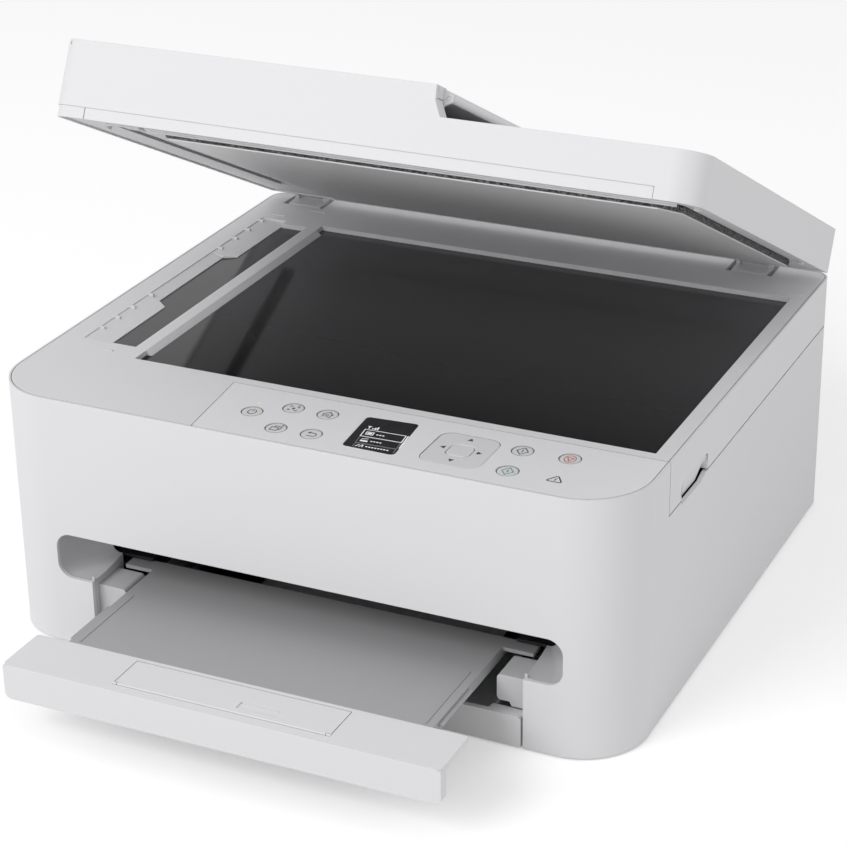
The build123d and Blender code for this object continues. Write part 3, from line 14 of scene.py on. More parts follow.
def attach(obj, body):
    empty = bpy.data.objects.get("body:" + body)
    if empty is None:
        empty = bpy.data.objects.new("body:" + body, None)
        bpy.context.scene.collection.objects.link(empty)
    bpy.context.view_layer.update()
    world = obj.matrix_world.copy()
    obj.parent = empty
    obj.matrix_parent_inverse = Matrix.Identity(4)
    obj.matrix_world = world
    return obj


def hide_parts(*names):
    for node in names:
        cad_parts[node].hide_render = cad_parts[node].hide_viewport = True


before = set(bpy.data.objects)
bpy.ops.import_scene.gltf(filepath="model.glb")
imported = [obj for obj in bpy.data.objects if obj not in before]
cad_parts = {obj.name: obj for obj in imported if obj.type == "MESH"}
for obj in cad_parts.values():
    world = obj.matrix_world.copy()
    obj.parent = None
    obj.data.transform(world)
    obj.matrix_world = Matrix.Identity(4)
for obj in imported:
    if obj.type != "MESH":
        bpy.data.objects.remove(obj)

log = logging.getLogger("printer")
MM = 0.001
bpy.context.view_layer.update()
HINGE = np.array((0.0, 170.0, 157.0))
LID_ANGLE = math.radians(26.83)
LID_Y = np.array((0.0, math.cos(LID_ANGLE), -math.sin(LID_ANGLE)))
LID_Z = np.array((0.0, math.sin(LID_ANGLE), math.cos(LID_ANGLE)))
BED_Z = 151.8
KEY_TOP = 151.65
PRINT_LIFT = 0.03
GAP_REACH = 0.0016
WINDOW_TOP = 151.7


class Coat(Enum):
    """How a moulded surface is finished."""

    FINE_GRAIN = "fine grain"
    SATIN = "satin"
    GLOSS = "gloss"


@dataclass(frozen=True)
class Plastic:
    """A moulded plastic: its colour, its grain and its sheen."""

    name: str
    colour: tuple[float, float, float]
    coat: Coat = Coat.FINE_GRAIN
    grain_scale: float = 2600.0
    grain_height: float = 0.00003
    mottle: float = 0.02
    edge_mm: float = 0.35


@dataclass(frozen=True)
class Metal:
    """A sheet or bar of steel with fine drawn lines."""

    name: str
    colour: tuple[float, float, float]
    roughness: float = 0.34


ROUGHNESS = {Coat.FINE_GRAIN: 0.52, Coat.SATIN: 0.38, Coat.GLOSS: 0.12}

WHITE = Plastic("case white", (0.775, 0.775, 0.79))
BED_WHITE = Plastic("bed white", (0.755, 0.755, 0.77), grain_height=0.00002)
PANEL_WHITE = Plastic("panel white", (0.81, 0.81, 0.825), grain_height=0.00002)
KEY_WHITE = Plastic("key white", (0.74, 0.74, 0.75), Coat.SATIN, grain_height=0.00001, edge_mm=0.3)
TRAY_GREY = Plastic("tray grey", (0.40, 0.40, 0.41))
CHEEK_GREY = Plastic("cheek grey", (0.62, 0.62, 0.63))
DRAWER_GREY = Plastic("drawer grey", (0.75, 0.75, 0.76))
INNER_BLACK = Plastic("inner black", (0.018, 0.018, 0.020))
INK_BLACK = Plastic("ink tank black", (0.02, 0.02, 0.022), Coat.SATIN)
INK_COLOUR = Plastic("ink tank colour", (0.10, 0.10, 0.12), Coat.SATIN)
WINDOW_BLACK = Plastic("window black", (0.012, 0.012, 0.014), Coat.GLOSS, grain_height=0.0, mottle=0.0)
SHEET_WHITE = Plastic("pressure sheet", (0.74, 0.74, 0.75), Coat.SATIN, grain_height=0.00001)
BOARD_GREEN = Plastic("board green", (0.02, 0.10, 0.045), Coat.SATIN)
ZINC = Metal("zinc sheet", (0.60, 0.60, 0.61))
POLISHED = Metal("polished shaft", (0.66, 0.66, 0.67), 0.2)


def principled(name: str) -> tuple[bpy.types.Material, bpy.types.Node, bpy.types.NodeTree]:
    """A new node material.

    Args:
        name: the material's name.

    Returns:
        The material, its Principled BSDF and its node tree.
    """
    material = bpy.data.materials.new(name)
    material.use_nodes = True
    tree = material.node_tree
    return material, tree.nodes["Principled BSDF"], tree


def grain_group() -> bpy.types.NodeTree:
    """The node group that gives moulded plastic its mottled colour, uneven sheen and grain.

    Returns:
        The group, made once and shared by every moulded finish.
    """
    if "moulded grain" in bpy.data.node_groups:
        return bpy.data.node_groups["moulded grain"]
    group = bpy.data.node_groups.new("moulded grain", "ShaderNodeTree")
    sockets = group.interface
    sockets.new_socket("Colour", in_out="INPUT", socket_type="NodeSocketColor")
    for label in ("Mottle", "Roughness", "Grain Scale"):
        sockets.new_socket(label, in_out="INPUT", socket_type="NodeSocketFloat")
    sockets.new_socket("Colour", in_out="OUTPUT", socket_type="NodeSocketColor")
    sockets.new_socket("Roughness", in_out="OUTPUT", socket_type="NodeSocketFloat")
    sockets.new_socket("Height", in_out="OUTPUT", socket_type="NodeSocketFloat")
    nodes = group.nodes
    links = group.links
    inputs = nodes.new("NodeGroupInput")
    outputs = nodes.new("NodeGroupOutput")
    place = nodes.new("ShaderNodeTexCoord")
    cloud = nodes.new("ShaderNodeTexNoise")
    cloud.inputs["Scale"].default_value = 9.0
    cloud.inputs["Detail"].default_value = 3.0
    links.new(place.outputs["Object"], cloud.inputs["Vector"])
    centred = nodes.new("ShaderNodeMath")
    centred.operation = "SUBTRACT"
    centred.inputs[1].default_value = 0.5
    links.new(cloud.outputs["Fac"], centred.inputs[0])
    scaled = nodes.new("ShaderNodeMath")
    scaled.operation = "MULTIPLY_ADD"
    scaled.inputs[2].default_value = 1.0
    links.new(centred.outputs[0], scaled.inputs[0])
    links.new(inputs.outputs["Mottle"], scaled.inputs[1])
    tint = nodes.new("ShaderNodeVectorMath")
    tint.operation = "SCALE"
    links.new(inputs.outputs["Colour"], tint.inputs[0])
    links.new(scaled.outputs[0], tint.inputs["Scale"])
    links.new(tint.outputs[0], outputs.inputs["Colour"])
    sheen = nodes.new("ShaderNodeMath")
    sheen.operation = "MULTIPLY_ADD"
    sheen.inputs[1].default_value = 0.08
    links.new(centred.outputs[0], sheen.inputs[0])
    links.new(inputs.outputs["Roughness"], sheen.inputs[2])
    links.new(sheen.outputs[0], outputs.inputs["Roughness"])
    grain = nodes.new("ShaderNodeTexNoise")
    grain.inputs["Detail"].default_value = 2.0
    links.new(place.outputs["Object"], grain.inputs["Vector"])
    links.new(inputs.outputs["Grain Scale"], grain.inputs["Scale"])
    links.new(grain.outputs["Fac"], outputs.inputs["Height"])
    return group


def painted_gap_shade(tree: bpy.types.NodeTree, colour: bpy.types.NodeSocket) -> bpy.types.NodeSocket:
    """Darkens a colour with painted shade inside narrow gaps, such as the gap round a key.

    Args:
        tree: the material's node tree.
        colour: the open colour.

    Returns:
        The colour's new socket.
    """
    hollow = tree.nodes.new("ShaderNodeAmbientOcclusion")
    hollow.samples = 6
    hollow.inputs["Distance"].default_value = GAP_REACH
    depth = tree.nodes.new("ShaderNodeMapRange")
    depth.inputs["From Max"].default_value = 0.55
    depth.inputs["To Min"].default_value = 0.12
    depth.inputs["To Max"].default_value = 1.0
    tree.links.new(hollow.outputs["AO"], depth.inputs["Value"])
    shade = tree.nodes.new("ShaderNodeVectorMath")
    shade.operation = "SCALE"
    tree.links.new(colour, shade.inputs[0])
    tree.links.new(depth.outputs["Result"], shade.inputs["Scale"])
    return shade.outputs[0]


def plastic(finish: Plastic) -> bpy.types.Material:
    """A moulded plastic material: grain group, painted shade in gaps, soft edges and a fine bump.

    Args:
        finish: the plastic to make.

    Returns:
        The material, made once for each finish.
    """
    if finish.name in bpy.data.materials:
        return bpy.data.materials[finish.name]
    material, shader, tree = principled(finish.name)
    grain = tree.nodes.new("ShaderNodeGroup")
    grain.node_tree = grain_group()
    grain.inputs["Colour"].default_value = (*finish.colour, 1.0)
    grain.inputs["Mottle"].default_value = finish.mottle
    grain.inputs["Roughness"].default_value = ROUGHNESS[finish.coat]
    grain.inputs["Grain Scale"].default_value = finish.grain_scale
    # Painted shade: the base colour is darkened in narrow gaps and tight corners
    tree.links.new(painted_gap_shade(tree, grain.outputs["Colour"]), shader.inputs["Base Color"])
    tree.links.new(grain.outputs["Roughness"], shader.inputs["Roughness"])
    edge = tree.nodes.new("ShaderNodeBevel")
    edge.samples = 4
    edge.inputs["Radius"].default_value = finish.edge_mm * MM
    bump = tree.nodes.new("ShaderNodeBump")
    bump.inputs["Strength"].default_value = 0.5
    bump.inputs["Distance"].default_value = finish.grain_height
    tree.links.new(grain.outputs["Height"], bump.inputs["Height"])
    tree.links.new(edge.outputs["Normal"], bump.inputs["Normal"])
    tree.links.new(bump.outputs["Normal"], shader.inputs["Normal"])
    shader.inputs["IOR"].default_value = 1.46
    return material


def metal(finish: Metal) -> bpy.types.Material:
    """A steel material with fine lines drawn along X.

    Args:
        finish: the metal to make.

    Returns:
        The material, made once for each finish.
    """
    if finish.name in bpy.data.materials:
        return bpy.data.materials[finish.name]
    material, shader, tree = principled(finish.name)
    shader.inputs["Metallic"].default_value = 1.0
    place = tree.nodes.new("ShaderNodeTexCoord")
    stretch = tree.nodes.new("ShaderNodeMapping")
    stretch.inputs["Scale"].default_value = (30.0, 1400.0, 1400.0)
    lines = tree.nodes.new("ShaderNodeTexNoise")
    lines.inputs["Scale"].default_value = 1.0
    tree.links.new(place.outputs["Object"], stretch.inputs["Vector"])
    tree.links.new(stretch.outputs["Vector"], lines.inputs["Vector"])
    shade = tree.nodes.new("ShaderNodeMapRange")
    shade.inputs["To Min"].default_value = finish.roughness - 0.06
    shade.inputs["To Max"].default_value = finish.roughness + 0.08
    tree.links.new(lines.outputs["Fac"], shade.inputs["Value"])
    tree.links.new(shade.outputs["Result"], shader.inputs["Roughness"])
    tint = tree.nodes.new("ShaderNodeMix")
    tint.data_type = "RGBA"
    tint.inputs["A"].default_value = (*finish.colour, 1.0)
    tint.inputs["B"].default_value = (*[0.9 * c for c in finish.colour], 1.0)
    tree.links.new(lines.outputs["Fac"], tint.inputs["Factor"])
    tree.links.new(tint.outputs["Result"], shader.inputs["Base Color"])
    return material


def speckled(name: str, dark: float, light: float, scale: float, roughness: float) -> bpy.types.Material:
    """Rubber or open foam: dark matter with lighter specks and a pitted surface.

    Args:
        name: the material's name.
        dark: grey level of the body.
        light: grey level of the specks.
        scale: how fine the specks are, per metre.
        roughness: how matt the surface is.

    Returns:
        The material.
    """
    material, shader, tree = principled(name)
    place = tree.nodes.new("ShaderNodeTexCoord")
    cells = tree.nodes.new("ShaderNodeTexNoise")
    cells.inputs["Scale"].default_value = scale
    cells.inputs["Detail"].default_value = 4.0
    cells.inputs["Roughness"].default_value = 0.7
    tree.links.new(place.outputs["Object"], cells.inputs["Vector"])
    ramp = tree.nodes.new("ShaderNodeValToRGB")
    ramp.color_ramp.elements[0].position = 0.46
    ramp.color_ramp.elements[0].color = (dark, dark, dark * 1.02, 1.0)
    ramp.color_ramp.elements[1].position = 0.68
    ramp.color_ramp.elements[1].color = (light, light, light, 1.0)
    tree.links.new(cells.outputs["Fac"], ramp.inputs["Fac"])
    tree.links.new(ramp.outputs["Color"], shader.inputs["Base Color"])
    bump = tree.nodes.new("ShaderNodeBump")
    bump.inputs["Strength"].default_value = 0.8
    bump.inputs["Distance"].default_value = 0.0004
    tree.links.new(cells.outputs["Fac"], bump.inputs["Height"])
    tree.links.new(bump.outputs["Normal"], shader.inputs["Normal"])
    shader.inputs["Roughness"].default_value = roughness
    return material


def glass_over_painted_interior(name: str, front: float, rear: float) -> bpy.types.Material:
    """Float glass over an unlit interior: a clear reflecting face over a dark body of painted shade that
    turns to painted light towards the rear.

    Args:
        name: the material's name.
        front: grey level of the painted shade that shows through the glass at the front.
        rear: grey level of the painted light that shows through it at the rear, where the inner walls are
            lit.

    Returns:
        The material.
    """
    material, shader, tree = principled(name)
    place = tree.nodes.new("ShaderNodeTexCoord")
    split = tree.nodes.new("ShaderNodeSeparateXYZ")
    tree.links.new(place.outputs["Object"], split.inputs["Vector"])
    # Painted light and shade: the body runs from dark at the front to lighter at the rear
    depth = tree.nodes.new("ShaderNodeMapRange")
    depth.inputs["From Min"].default_value = -0.1
    depth.inputs["From Max"].default_value = 0.12
    tree.links.new(split.outputs["Y"], depth.inputs["Value"])
    mix = tree.nodes.new("ShaderNodeMix")
    mix.data_type = "RGBA"
    mix.inputs["A"].default_value = (front, front, 1.06 * front, 1.0)
    mix.inputs["B"].default_value = (rear, rear, 1.04 * rear, 1.0)
    tree.links.new(depth.outputs["Result"], mix.inputs["Factor"])
    tree.links.new(mix.outputs["Result"], shader.inputs["Base Color"])
    shader.inputs["Roughness"].default_value = 0.08
    shader.inputs["IOR"].default_value = 1.4
    shader.inputs["Specular IOR Level"].default_value = 0.3
    return material


def flat_ink(name: str, colour: tuple[float, float, float], glow: float = 0.0) -> bpy.types.Material:
    """Printed ink or a lit segment, slightly uneven.

    Args:
        name: the material's name.
        colour: the ink's colour.
        glow: how strongly it shines by itself.

    Returns:
        The material, made once for each name.
    """
    if name in bpy.data.materials:
        return bpy.data.materials[name]
    material, shader, tree = principled(name)
    place = tree.nodes.new("ShaderNodeTexCoord")
    specks = tree.nodes.new("ShaderNodeTexNoise")
    specks.inputs["Scale"].default_value = 900.0
    tree.links.new(place.outputs["Object"], specks.inputs["Vector"])
    mix = tree.nodes.new("ShaderNodeMix")
    mix.data_type = "RGBA"
    mix.inputs["A"].default_value = (*colour, 1.0)
    mix.inputs["B"].default_value = (*[min(1.0, 1.15 * c + 0.01) for c in colour], 1.0)
    tree.links.new(specks.outputs["Fac"], mix.inputs["Factor"])
    tree.links.new(mix.outputs["Result"], shader.inputs["Base Color"])
    shader.inputs["Roughness"].default_value = 0.5
    if glow > 0.0:
        tree.links.new(mix.outputs["Result"], shader.inputs["Emission Color"])
        shader.inputs["Emission Strength"].default_value = glow
    return material


def dress(node: str, material: bpy.types.Material) -> None:
    """Puts one material on every slot of a CAD node.

    Args:
        node: the node's name.
        material: what it gets.
    """
    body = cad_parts[node]
    if not body.material_slots:
        body.data.materials.append(material)
    for place in body.material_slots:
        place.material = material


def lid_point(x: np.ndarray, y: np.ndarray, z: np.ndarray) -> np.ndarray:
    """Points of the lid's own frame, in millimetres, as world points in metres.

    Args:
        x: to the right.
        y: towards the hinge, zero on its axis.
        z: away from the bed, zero on the axis.

    Returns:
        An array with one row per point.
    """
    x, y, z = np.broadcast_arrays(x, y, z)
    spot = np.stack((x, np.zeros_like(x), np.zeros_like(x)), axis=-1).astype(float)
    spot = spot + HINGE + y[..., None] * LID_Y + z[..., None] * LID_Z
    return (spot * MM).reshape(-1, 3)


def make_mesh(
    name: str, points: np.ndarray, faces: np.ndarray, material: bpy.types.Material, body: str
) -> bpy.types.Object:
    """A mesh piece that rides on a body.

    Args:
        name: the piece's name.
        points: world points in metres.
        faces: rows of vertex numbers.
        material: its finish.
        body: the body that carries it.

    Returns:
        The new object.
    """
    mesh = bpy.data.meshes.new(name)
    mesh.from_pydata(points.tolist(), [], faces.tolist())
    mesh.validate()
    mesh.update()
    piece = bpy.data.objects.new(name, mesh)
    bpy.context.scene.collection.objects.link(piece)
    piece.data.materials.append(material)
    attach(piece, body)
    log.info("%s: %d faces on %s", name, len(faces), body)
    return piece


def ring(centre: Sequence[float], radius: float, start: float, end: float, steps: int = 24) -> np.ndarray:
    """Points of an arc: centre plus radius times the cosine and sine of evenly spaced angles.

    Args:
        centre: middle of the arc.
        radius: its radius.
        start: first angle in degrees.
        end: last angle in degrees.
        steps: number of runs.

    Returns:
        An array of 2-D points.
    """
    turn = np.radians(np.linspace(start, end, steps + 1))
    return np.stack((centre[0] + radius * np.cos(turn), centre[1] + radius * np.sin(turn)), axis=1)


@dataclass
class Pictogram:
    """Thin printed strokes and fills on a flat face, gathered into one mesh."""

    name: str
    centre: tuple[float, float]
    height: float
    body: str
    slot: str
    ink: bpy.types.Material
    width: float = 0.42
    along: tuple[float, float] = (1.0, 0.0)
    upward: tuple[float, float] = (0.0, 1.0)
    points: list[np.ndarray] = field(default_factory=list)
    faces: list[np.ndarray] = field(default_factory=list)
    count: int = 0

    def _take(self, outline: np.ndarray, faces: np.ndarray) -> None:
        """Adds 2-D points and their faces to the mesh."""
        self.points.append(outline)
        self.faces.extend((faces + self.count).tolist())
        self.count += len(outline)

    def stroke(self, line: np.ndarray | Sequence[Sequence[float]], closed: bool = False) -> None:
        """A ribbon along a line: each point moves half the width to both sides of its mitre.

        Args:
            line: 2-D points in millimetres about the centre.
            closed: whether the last point joins the first.
        """
        path = np.asarray(line, dtype=float)
        before = np.roll(path, 1, axis=0)
        after = np.roll(path, -1, axis=0)
        if not closed:
            before[0] = 2 * path[0] - path[1]
            after[-1] = 2 * path[-1] - path[-2]
        run_in = path - before
        run_out = after - path
        run_in /= np.linalg.norm(run_in, axis=1, keepdims=True)
        run_out /= np.linalg.norm(run_out, axis=1, keepdims=True)
        along = run_in + run_out
        along /= np.linalg.norm(along, axis=1, keepdims=True)
        across = np.stack((-along[:, 1], along[:, 0]), axis=1)
        reach = np.clip(np.sum(along * run_in, axis=1, keepdims=True), 0.5, 1.0)
        half = self.width / 2 / reach
        rim = np.concatenate((path - across * half, path + across * half))
        count = len(path)
        first = np.arange(count if closed else count - 1)
        second = (first + 1) % count
        self._take(rim, np.stack((first, second, second + count, first + count), axis=1))

    def fill(self, outline: Sequence[Sequence[float]]) -> None:
        """A filled convex shape, fanned from its first point."""
        shape = np.asarray(outline, dtype=float)
        inner = np.arange(1, len(shape) - 1)
        self._take(shape, np.stack((np.zeros_like(inner), inner, inner + 1, inner + 1), axis=1))

    def bar(self, x0: float, x1: float, y0: float, y1: float) -> None:
        """A filled rectangle between two corners."""
        self.fill(((x0, y0), (x1, y0), (x1, y1), (x0, y1)))

    def frame(self, x0: float, x1: float, y0: float, y1: float) -> None:
        """An outlined rectangle between two corners."""
        self.stroke(((x0, y0), (x1, y0), (x1, y1), (x0, y1)), closed=True)

    def make(self) -> bpy.types.Object:
        """Builds the printed mesh a little above the face.

        Returns:
            The new object.
        """
        flat = np.concatenate(self.points) @ np.array((self.along, self.upward))
        spot = np.column_stack(
            (flat[:, 0] + self.centre[0], flat[:, 1] + self.centre[1], np.full(len(flat), self.height))
        )
        faces = [list(dict.fromkeys(row)) for row in self.faces]
        mesh = bpy.data.meshes.new(self.name)
        mesh.from_pydata((spot * MM).tolist(), [], faces)
        mesh.update()
        piece = bpy.data.objects.new(self.name, mesh)
        bpy.context.scene.collection.objects.link(piece)
        piece.data.materials.append(self.ink)
        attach(piece, self.body)
        log.info("%s: %d printed faces", self.name, len(faces))
        return piece


@dataclass
class Casing:
    """Casing, scanner tub, bed frame and the mouth's linings."""

    side_x: float = 189.5
    grip_y: tuple[float, float] = (-93.7, -53.0)
    grip_top: float = 131.0
    grip_corner: float = 5.0
    grip_depth: float = 3.3
    notch: tuple[tuple[float, ...], tuple[float, ...]] = ((-94.0, -63.0, -52.0), (118.4, 118.0, 123.2))

    def build(self) -> None:
        """Dresses the outer mouldings."""
        for node in ("main_casing", "scanner_tray", "tray_front", "rear_cover", "paper_stop"):
            dress(node, plastic(WHITE))
        dress("scanner_top", plastic(BED_WHITE))
        dress("operation_panel", plastic(PANEL_WHITE))
        for node in ("cheek_left", "cheek_right"):
            dress(node, plastic(CHEEK_GREY))
        dress("lid_hinges", plastic(BED_WHITE))
        dress("base_chassis", plastic(INNER_BLACK))
        dress("feet", speckled("foot rubber", 0.03, 0.06, 1500.0, 0.85))
        dress("power_inlet", plastic(INNER_BLACK))
        dress("usb_port", metal(ZINC))
        self.scoop()

    def scoop(self) -> None:
        """The curved back of the finger grip in the scanner tub's right side.

        Each row runs along the grip and sinks further in than the row above it, so the grip is a
        shallow bowl that ends a little above the notch in the casing.
        """
        rows, columns = 15, 43
        y = np.linspace(self.grip_y[0], self.grip_y[1], columns)
        end = np.minimum(y - self.grip_y[0], self.grip_y[1] - y)
        over = np.clip(self.grip_corner - end, 0.0, self.grip_corner)
        top = self.grip_top - self.grip_corner + np.sqrt(self.grip_corner ** 2 - over ** 2)
        low = np.interp(y, *self.notch) + 0.4
        bowl = np.sqrt(np.clip((y - self.grip_y[0]) / 9.0, 0.0, 1.0))
        down = np.linspace(0.0, 1.0, rows)[:, None]
        z = top + (low - top) * down
        x = self.side_x - 0.15 - self.grip_depth * bowl * down ** 0.8
        skin = np.stack((x, np.broadcast_to(y, x.shape), z), axis=-1).reshape(-1, 3)
        back = skin - np.array((0.8, 0.0, 0.0))
        spot = np.arange(rows * columns).reshape(rows, columns)
        front = np.stack((spot[:-1, :-1], spot[1:, :-1], spot[1:, 1:], spot[:-1, 1:]), axis=-1).reshape(-1, 4)
        rim = np.concatenate((spot[0, :-1], spot[:-1, -1], spot[-1, :0:-1], spot[:0:-1, 0]))
        after = np.roll(rim, -1)
        count = rows * columns
        wall = np.stack((rim, after, after + count, rim + count), axis=-1)
        faces = np.concatenate((front, front[:, ::-1] + count, wall))
        points = np.concatenate((skin, back)) * MM
        make_mesh("grip_scoop", points, faces, plastic(WHITE), "scanner")


@dataclass
class Glass:
    """Document glass and the feeder's strip of glass."""

    def build(self) -> None:
        """Dresses both panes."""
        # Both panes carry painted shade of the interior below them, lighter towards the rear
        dress("platen_glass", glass_over_painted_interior("document glass", 0.012, 0.085))
        dress("feed_glass", glass_over_painted_interior("feeder glass", 0.046, 0.072))
        dress("scan_carriage", plastic(INNER_BLACK))
        dress("scan_rod", metal(POLISHED))


@dataclass
class Engine:
    """What is inside the casing: frame, rollers, carriage, boards and supply."""

    def build(self) -> None:
        """Dresses the inner pieces."""
        for node in ("print_frame", "carriage_rail", "power_supply"):
            dress(node, metal(ZINC))
        for node in ("platen", "paper_deck", "purge_unit", "carriage", "pickup_arm", "idle_gear"):
            dress(node, plastic(INNER_BLACK))
        rubber = speckled("roller rubber", 0.02, 0.05, 1800.0, 0.8)
        for node in ("feed_roller", "eject_roller", "pickup_roller", "document_roller"):
            dress(node, rubber)
        dress("ink_tank_black", plastic(INK_BLACK))
        dress("ink_tank_colour", plastic(INK_COLOUR))
        for node in ("control_board", "main_board"):
            dress(node, plastic(BOARD_GREEN))


@dataclass
class PaperPath:
    """Output tray, cassette and its guides."""

    def build(self) -> None:
        """Dresses the paper-carrying mouldings."""
        dress("output_tray", plastic(TRAY_GREY))
        dress("cassette", plastic(DRAWER_GREY))
        for node in ("width_guide_left", "width_guide_right", "end_guide"):
            dress(node, plastic(INNER_BLACK))


@dataclass
class Lid:
    """Lid skin, underside, feeder and the soft pad."""

    pad_x: tuple[float, float] = (-121.0, 177.0)
    pad_y: tuple[float, float] = (-274.6, -48.0)
    pad_z: tuple[float, float] = (-7.0, -3.3)
    corner: float = 10.0

    def build(self) -> None:
        """Dresses the lid and makes the foam pad."""
        for node in ("lid_base", "lid_shell", "feeder_cover", "document_tray"):
            dress(node, plastic(WHITE))
        for node in ("feeder_frame", "document_guide_front", "document_guide_rear"):
            dress(node, plastic(TRAY_GREY))
        dress("pad_sheet", plastic(SHEET_WHITE))
        self.foam()

    def foam(self) -> None:
        """A closed slab of open foam: a rounded outline lofted through layers that bulge a little.

        The outline is the pad's rectangle with its front right corner cut off. Each layer is the
        outline moved in by the square root of one minus the layer's height squared.
        """
        x0, x1 = self.pad_x
        y0, y1 = self.pad_y
        z0, z1 = self.pad_z
        corners = np.array(
            ((x0, y0), (x1 - self.corner, y0), (x1, y0 + self.corner), (x1, y1), (x0, y1))
        )
        runs = [
            np.linspace(a, b, 60, endpoint=False)
            for a, b in zip(corners, np.roll(corners, -1, axis=0))
        ]
        rim = np.concatenate(runs)
        middle = np.array(((x0 + x1) / 2, (y0 + y1) / 2))
        count = len(rim)
        layers = np.linspace(-1.0, 1.0, 9)
        rows = []
        for level in layers:
            inset = 0.6 * (1.0 - math.sqrt(1.0 - 0.96 * level * level))
            shrink = 1.0 - inset / 110.0
            flat = middle + (rim - middle) * shrink
            height = np.full(count, (z0 + z1) / 2 + level * (z1 - z0) / 2)
            rows.append(lid_point(flat[:, 0], flat[:, 1], height))
        points = np.concatenate(rows)
        first = np.arange(count)
        second = (first + 1) % count
        quad = np.stack((first, second, second + count, first + count), axis=1)
        sides = [quad + k * count for k in range(len(layers) - 1)]
        caps = [list(range(count))[::-1], list(range((len(layers) - 1) * count, len(layers) * count))]
        mesh = bpy.data.meshes.new("foam_pad")
        mesh.from_pydata(points.tolist(), [], np.concatenate(sides).tolist() + caps)
        mesh.update()
        piece = bpy.data.objects.new("foam_pad", mesh)
        bpy.context.scene.collection.objects.link(piece)
        piece.data.materials.append(speckled("pad foam", 0.014, 0.34, 1100.0, 0.95))
        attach(piece, "lid")
        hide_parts("pad_foam")
        log.info("foam_pad: %d faces", len(mesh.polygons))


